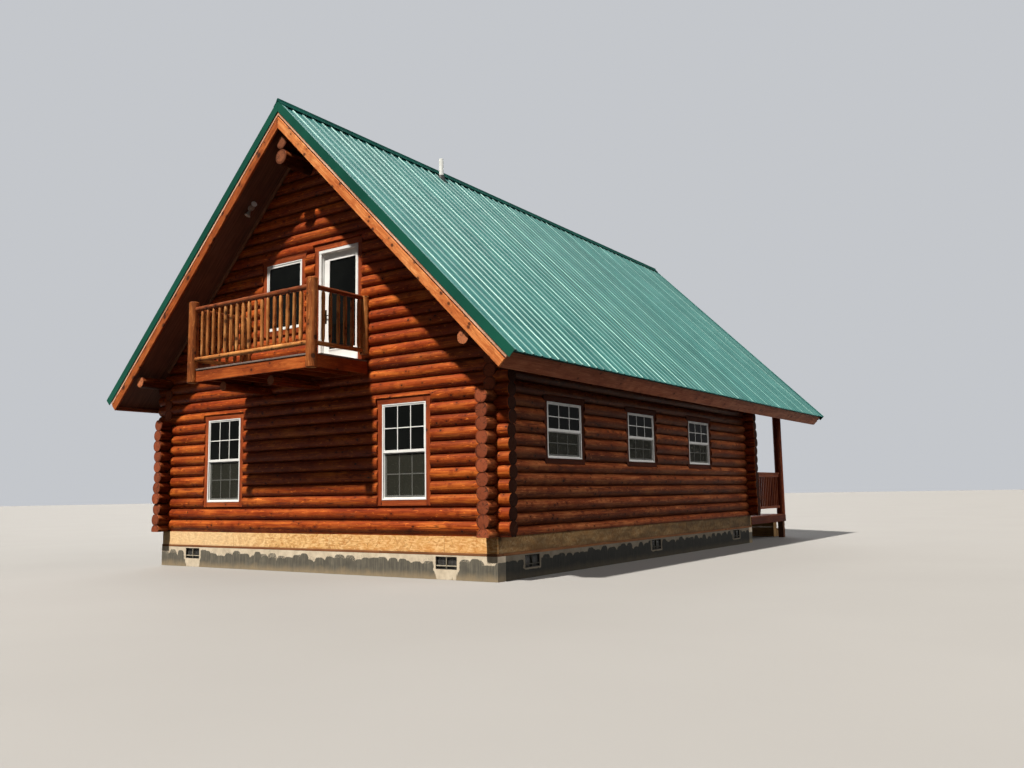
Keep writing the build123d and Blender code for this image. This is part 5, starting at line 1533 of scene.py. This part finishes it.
# ---------------------------------------------------------------------- porch
B = Build()
PX = HALF_W
py0 = LENGTH + 0.034
pz0, pz1 = -0.222, -0.058
bar(B, PX - T38, PX, py0, PORCH_Y1, pz0, pz1, "y", bev=0.004)
bar(B, -PX, -PX + T38, py0, PORCH_Y1, pz0, pz1, "y", bev=0.004)
run(B, -PX + T38 + 0.001, PX - T38 - 0.001, lambda p, q: bar(B, p, q, PORCH_Y1 - T38, PORCH_Y1, pz0, pz1, "x", bev=0.004), 4.3)
run(B, -PX + T38 + 0.001, PX - T38 - 0.001, lambda p, q: bar(B, p, q, py0, py0 + T38, pz0, pz1, "x", bev=0.004), 4.3)
for i in range(1, 20):
    x = -PX + 2 * PX * i / 20
    bar(B, x - 0.019, x + 0.019, py0 + T38 + 0.001, PORCH_Y1 - T38 - 0.001, pz0 + 0.004, pz1, "y", bev=0.003)
B.make("porch_joist_boards", ["red_rim", "red_rim"], "porch_frame", "red_board", sharp=30)
B = Build()
y = py0
while y < PORCH_Y1 - 0.05:
    y2 = min(y + 0.140, PORCH_Y1)
    run(B, -PX, PX, lambda p, q: bar(B, p, q, y, y2, -0.0575, -0.030, "x", bev=0.004), 4.88)
    y = y2 + 0.005
B.make("porch_deck_boards", ["red", "red"], "porch_deck", "red_board", sharp=30)
B = Build()
for x in (-3.890, -1.300, 1.300, 3.890):
    bar(B, x - 0.070, x + 0.070, PORCH_Y1 - T38 - 0.145, PORCH_Y1 - T38 - 0.005, -ZG, -0.2235, "z", bev=0.006)
B.make("porch_pier_posts", ["pier", "pier"], "porch_piers", "treated_timber", sharp=30)
B = Build()
for sx in (-1, 1):
    tube(B, (sx * AX, PORCH_POST_Y, 0), Z, X, Y, spread(-0.029, PZ - 0.06, 0.25), 0.108, rnd.random(), segs=34, bow=0.003, vbow=0.003)
B.make("porch_post_logs", ["log", "log_end"], "porch_posts", "stained_log")
B = Build()
tube(B, (0, PORCH_POST_Y, PZ + 0.020), X, Y, Z, spread(-3.86, 3.86, 0.3), 0.106, rnd.random(), segs=34, bow=0.004, vbow=0.003)
tube(B, (0, PORCH_POST_Y, 0), Z, X, Y, spread(PZ + 0.10, 6.36, 0.3), 0.092, rnd.random(), segs=32, bow=0.003, vbow=0.003)
B.make("porch_truss_logs", ["log", "log_end"], "porch_truss", "stained_log")


def rail_panel(B, a0, a1, along, other):
    def b(u0, u1, w, z0, z1, al):
        if along == "x":
            bar(B, u0, u1, other - w, other + w, z0, z1, al, bev=0.003)
        else:
            bar(B, other - w, other + w, u0, u1, z0, z1, al, bev=0.003)
    b(a0, a1, 0.044, 1.010, 1.048, along)
    b(a0, a1, 0.019, 0.935, 1.0095, along)
    b(a0, a1, 0.022, 0.128, 0.190, along)
    n = int(round((a1 - a0) / 0.135)) - 1
    pitch = (a1 - a0) / (n + 1)
    for i in range(n):
        u = a0 + pitch * (i + 1)
        b(u - 0.018, u + 0.018, 0.018, 0.1905, 0.9345, "z")


B = Build()
rail_panel(B, LENGTH + END_OUT + 0.002, PORCH_POST_Y - 0.109, "y", AX)
B.make("porch_right_railing", ["red", "red"], "porch_railing_right", "red_board", sharp=30)
B = Build()
rail_panel(B, LENGTH + END_OUT + 0.002, PORCH_POST_Y - 0.109, "y", -AX)
B.make("porch_left_railing", ["red", "red"], "porch_railing_left", "red_board", sharp=30)
B = Build()
SX0, SX1 = 2.450, 3.650
rail_panel(B, -AX + 0.109, SX0 - 0.100, "x", PORCH_POST_Y)
bar(B, SX0 - 0.100, SX0 - 0.010, PORCH_POST_Y - 0.045, PORCH_POST_Y + 0.045, -0.029, 1.090, "z", bev=0.008)
B.make("porch_back_railing", ["red", "red"], "porch_railing_back", "red_board", sharp=30)
B = Build()
for ya, yb, zt in ((PORCH_Y1 + 0.002, PORCH_Y1 + 0.282, -0.234), (PORCH_Y1 + 0.283, PORCH_Y1 + 0.542, -0.434)):
    w = (yb - ya - 0.006) / 2
    for i in range(2):
        bar(B, SX0, SX1, ya + i * (w + 0.006), ya + i * (w + 0.006) + w, zt - 0.038, zt, "x", bev=0.005)
    n = max(1, int(round((zt - 0.0385 + ZG) / 0.14)))
    hh = (zt - 0.0385 + ZG) / n
    for i in range(n):
        za = -ZG + hh * i
        bar(B, SX0 + 0.012, SX1 - 0.012, yb - 0.034, yb - 0.010, za + 0.001, za + hh - 0.001, "x", bev=0.003)
        for x in (SX0 + 0.012, SX1 - 0.036):
            bar(B, x, x + 0.024, ya + 0.004, yb - 0.035, za + 0.001, za + hh - 0.001, "y", bev=0.003)
B.make("porch_step_boards", ["treated", "pier"], "porch_steps", "treated_timber", sharp=30)

# ------------------------------------------------------------------ vent pipe
VX, VY = 0.215, 3.456
vm = RIDGE_Z - VX
B = Build()


def ringz(r, z, k=28):
    t = np.arange(k) * 2 * math.pi / k
    return np.stack([VX + r * np.cos(t), VY + r * np.sin(t), np.full(k, z)], 1)


def lathe(B, prof, seed, clip=None):
    """A closed turned piece from (radius, z) points."""
    k = 28
    rings = []
    for r, z in prof:
        q = ringz(r, z, k)
        if clip is not None:
            q[:, 2] = np.maximum(q[:, 2], clip(q[:, 0]))
        rings.append(q)
    v = np.concatenate(rings)
    n = len(prof)
    faces = []
    for i in range(n):
        a, b = i * k, ((i + 1) % n) * k
        for j in range(k):
            faces.append((a + j, a + (j + 1) % k, b + (j + 1) % k, b + j))
    B.add(v, faces, v - np.array([VX, VY, 0]), seed, 0)


def above(x):
    return RIDGE_Z - x + 0.0105 * RT


lathe(B, [(0.046, vm - 0.05), (0.046, vm + 0.428), (0.0445, vm + 0.430), (0.0405, vm + 0.430), (0.039, vm + 0.428), (0.039, vm - 0.05)], 0.2, above)
B.make("vent_pipe_tube", ["pipe"], "vent_pipe", "white_pipe", sharp=35)
B = Build()
lathe(B, [(0.078, vm - 0.2), (0.074, vm + 0.02), (0.062, vm + 0.055), (0.060, vm + 0.070), (0.0475, vm + 0.075), (0.0475, vm - 0.2)], 0.3, above)
B.make("vent_boot_cone", ["boot"], "vent_boot", "dark_rubber", sharp=35)

# --------------------------------------------- CAD nodes that stay as they are


def mat_deck():
    """Dark stained soffit sheets; grain down the slope, joints every 1.22 m along the eave."""
    n = Nodes("dark_soffit")
    tc = n.new("TexCoord").outputs["Object"]
    x, y, z = n.sep(tc)
    s = n.math("MULTIPLY", n.math("SUBTRACT", n.math("ABSOLUTE", x), z), 0.7071)
    j = n.math("ABSOLUTE", n.math("SUBTRACT", n.math("FRACT", n.math("DIVIDE", n.math("ADD", y, 20.0), 1.22)), 0.5))
    joint = n.smooth(j, 0.4965, 0.4985)
    g1 = n.noise(n.comb(n.math("MULTIPLY", s, 1.5), n.math("MULTIPLY", y, 34.0), 0.0), 1.0, 4.0, 0.6)
    bl = n.noise(n.comb(s, y, 0.0), 1.4, 3.0)
    f = n.math("ADD", n.math("MULTIPLY", g1, 0.6), n.math("MULTIPLY", bl, 0.4))
    c = n.ramp(f, [(0.36, lin(78, 50, 38)), (0.50, lin(102, 66, 50)), (0.66, lin(124, 84, 64))])
    c = n.mix(n.math("MULTIPLY", joint, 0.9), c, lin(20, 12, 9))
    n.bump(n.math("SUBTRACT", g1, joint), 0.25, 0.004)
    return n.set(color=c, rough=0.68, spec=0.3)


M["deck"] = mat_deck()
for node in ("roof_deck_right", "roof_deck_left"):
    o = frame["nodes"][node]
    o.data.materials.clear()
    o.data.materials.append(M["deck"])

# ------------------------------------------------------------ camera and light
C = Vector((11.5663, -10.6241 - YM, 0.6278 + ZG))
yaw, pit, rol = math.radians(34.41), math.radians(6.97), math.radians(-0.94)
fwd = Vector((-math.sin(yaw) * math.cos(pit), math.cos(yaw) * math.cos(pit), math.sin(pit)))
right = Vector((math.cos(yaw), math.sin(yaw), 0))
up = right.cross(fwd)
r2 = right * math.cos(rol) + up * math.sin(rol)
u2 = up * math.cos(rol) - right * math.sin(rol)
cam = bpy.data.objects.new("camera", bpy.data.cameras.new("camera"))
bpy.context.scene.collection.objects.link(cam)
m3 = Matrix((r2, u2, -fwd)).transposed()
cam.matrix_world = Matrix.Translation(C) @ m3.to_4x4()
cam.data.sensor_width = 36.0
cam.data.sensor_fit = "HORIZONTAL"
cam.data.lens = 892.33 * 36.0 / 1024.0
cam.data.clip_end = 600.0
bpy.context.scene.camera = cam


def lamp(name, kind, energy, color, direction, angle=0.2):
    d = bpy.data.lights.new(name, kind)
    d.energy = energy
    d.color = color
    if kind == "SUN":
        d.angle = angle
    o = bpy.data.objects.new(name, d)
    o.rotation_euler = Vector(direction).to_track_quat("-Z", "Y").to_euler()
    bpy.context.scene.collection.objects.link(o)
    return o


lamp("key", "SUN", 6.0, (1.0, 0.95, 0.88), (0.045, 0.534, -0.845), 0.035)
lamp("side", "SUN", 1.15, (1.0, 0.97, 0.95), (-0.80, -0.28, -0.53), 0.8)
lamp("back", "SUN", 1.5, (0.94, 0.97, 1.0), (0.66, -0.66, -0.36), 0.9)

world = bpy.data.worlds.new("studio")
bpy.context.scene.world = world
world.use_nodes = True
bg = world.node_tree.nodes["Background"]
bg.inputs[0].default_value = (0.98, 0.97, 0.98, 1.0)
bg.inputs[1].default_value = 0.13

# dim disc under the floor, met by diffuse rays only: less light from below than from above
gm = bpy.data.meshes.new("studio_under")
gn = 64
gm.from_pydata([(240.0 * math.cos(i * 2 * math.pi / gn), 240.0 * math.sin(i * 2 * math.pi / gn), -0.03) for i in range(gn)], [], [tuple(range(gn))])
under_ = bpy.data.objects.new("studio_under", gm)
bpy.context.scene.collection.objects.link(under_)
gmat = bpy.data.materials.new("studio_under")
gmat.use_nodes = True
gmat.node_tree.nodes.clear()
ge = gmat.node_tree.nodes.new("ShaderNodeEmission")
ge.inputs[0].default_value = (1.0, 0.88, 0.76, 1.0)
ge.inputs[1].default_value = 0.048
go = gmat.node_tree.nodes.new("ShaderNodeOutputMaterial")
gmat.node_tree.links.new(ge.outputs[0], go.inputs[0])
gm.materials.append(gmat)
for flag in ("visible_camera", "visible_glossy", "visible_transmission", "visible_shadow"):
    setattr(under_, flag, False)

# pale backdrop all round, seen by the camera only
dm = bpy.data.meshes.new("studio_backdrop")
rows_, cols_ = 12, 48
RD = 255.0
dv = [(RD * math.cos(e) * math.cos(a), RD * math.cos(e) * math.sin(a), RD * math.sin(e) - 3.0)
      for e in (i * math.pi / 2 / rows_ for i in range(rows_)) for a in (j * 2 * math.pi / cols_ for j in range(cols_))]
dv.append((0.0, 0.0, RD - 3.0))
df = [(i * cols_ + j, (i + 1) * cols_ + j, (i + 1) * cols_ + (j + 1) % cols_, i * cols_ + (j + 1) % cols_)
      for i in range(rows_ - 1) for j in range(cols_)]
df += [((rows_ - 1) * cols_ + j, len(dv) - 1, (rows_ - 1) * cols_ + (j + 1) % cols_) for j in range(cols_)]
dm.from_pydata(dv, [], df)
dome = bpy.data.objects.new("studio_backdrop", dm)
bpy.context.scene.collection.objects.link(dome)
dmat = bpy.data.materials.new("studio_backdrop")
dmat.use_nodes = True
dmat.node_tree.nodes.clear()
em = dmat.node_tree.nodes.new("ShaderNodeEmission")
em.inputs[0].default_value = (0.92, 0.95, 1.0, 1.0)
em.inputs[1].default_value = 0.60
do = dmat.node_tree.nodes.new("ShaderNodeOutputMaterial")
dmat.node_tree.links.new(em.outputs[0], do.inputs[0])
dm.materials.append(dmat)
dome.visible_diffuse = False
dome.visible_shadow = False
dome.visible_glossy = False
dome.visible_transmission = False

fl = bpy.data.meshes.new("studio_floor")
nf = 24
R0 = 260.0
vv = [(0.0, 0.0, -0.002)]
ff = []
for i in range(48):
    t = i * 2 * math.pi / 48
    vv.append((R0 * math.cos(t), R0 * math.sin(t), -0.002))
for i in range(48):
    ff.append((0, 1 + i, 1 + (i + 1) % 48))
fl.from_pydata(vv, [], ff)
floor = bpy.data.objects.new("studio_floor", fl)
bpy.context.scene.collection.objects.link(floor)
fn = Nodes("studio_floor")
tc = fn.new("TexCoord").outputs["Object"]
fn.set(color=fn.mix(fn.noise(tc, 0.35, 3.0), lin(150, 148, 145), lin(156, 154, 151)), rough=0.9, spec=0.2)
fl.materials.append(fn.mat)
floor.visible_diffuse = False

bpy.context.scene.view_settings.view_transform = "Standard"
bpy.context.scene.view_settings.look = "None"

bpy.context.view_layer.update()
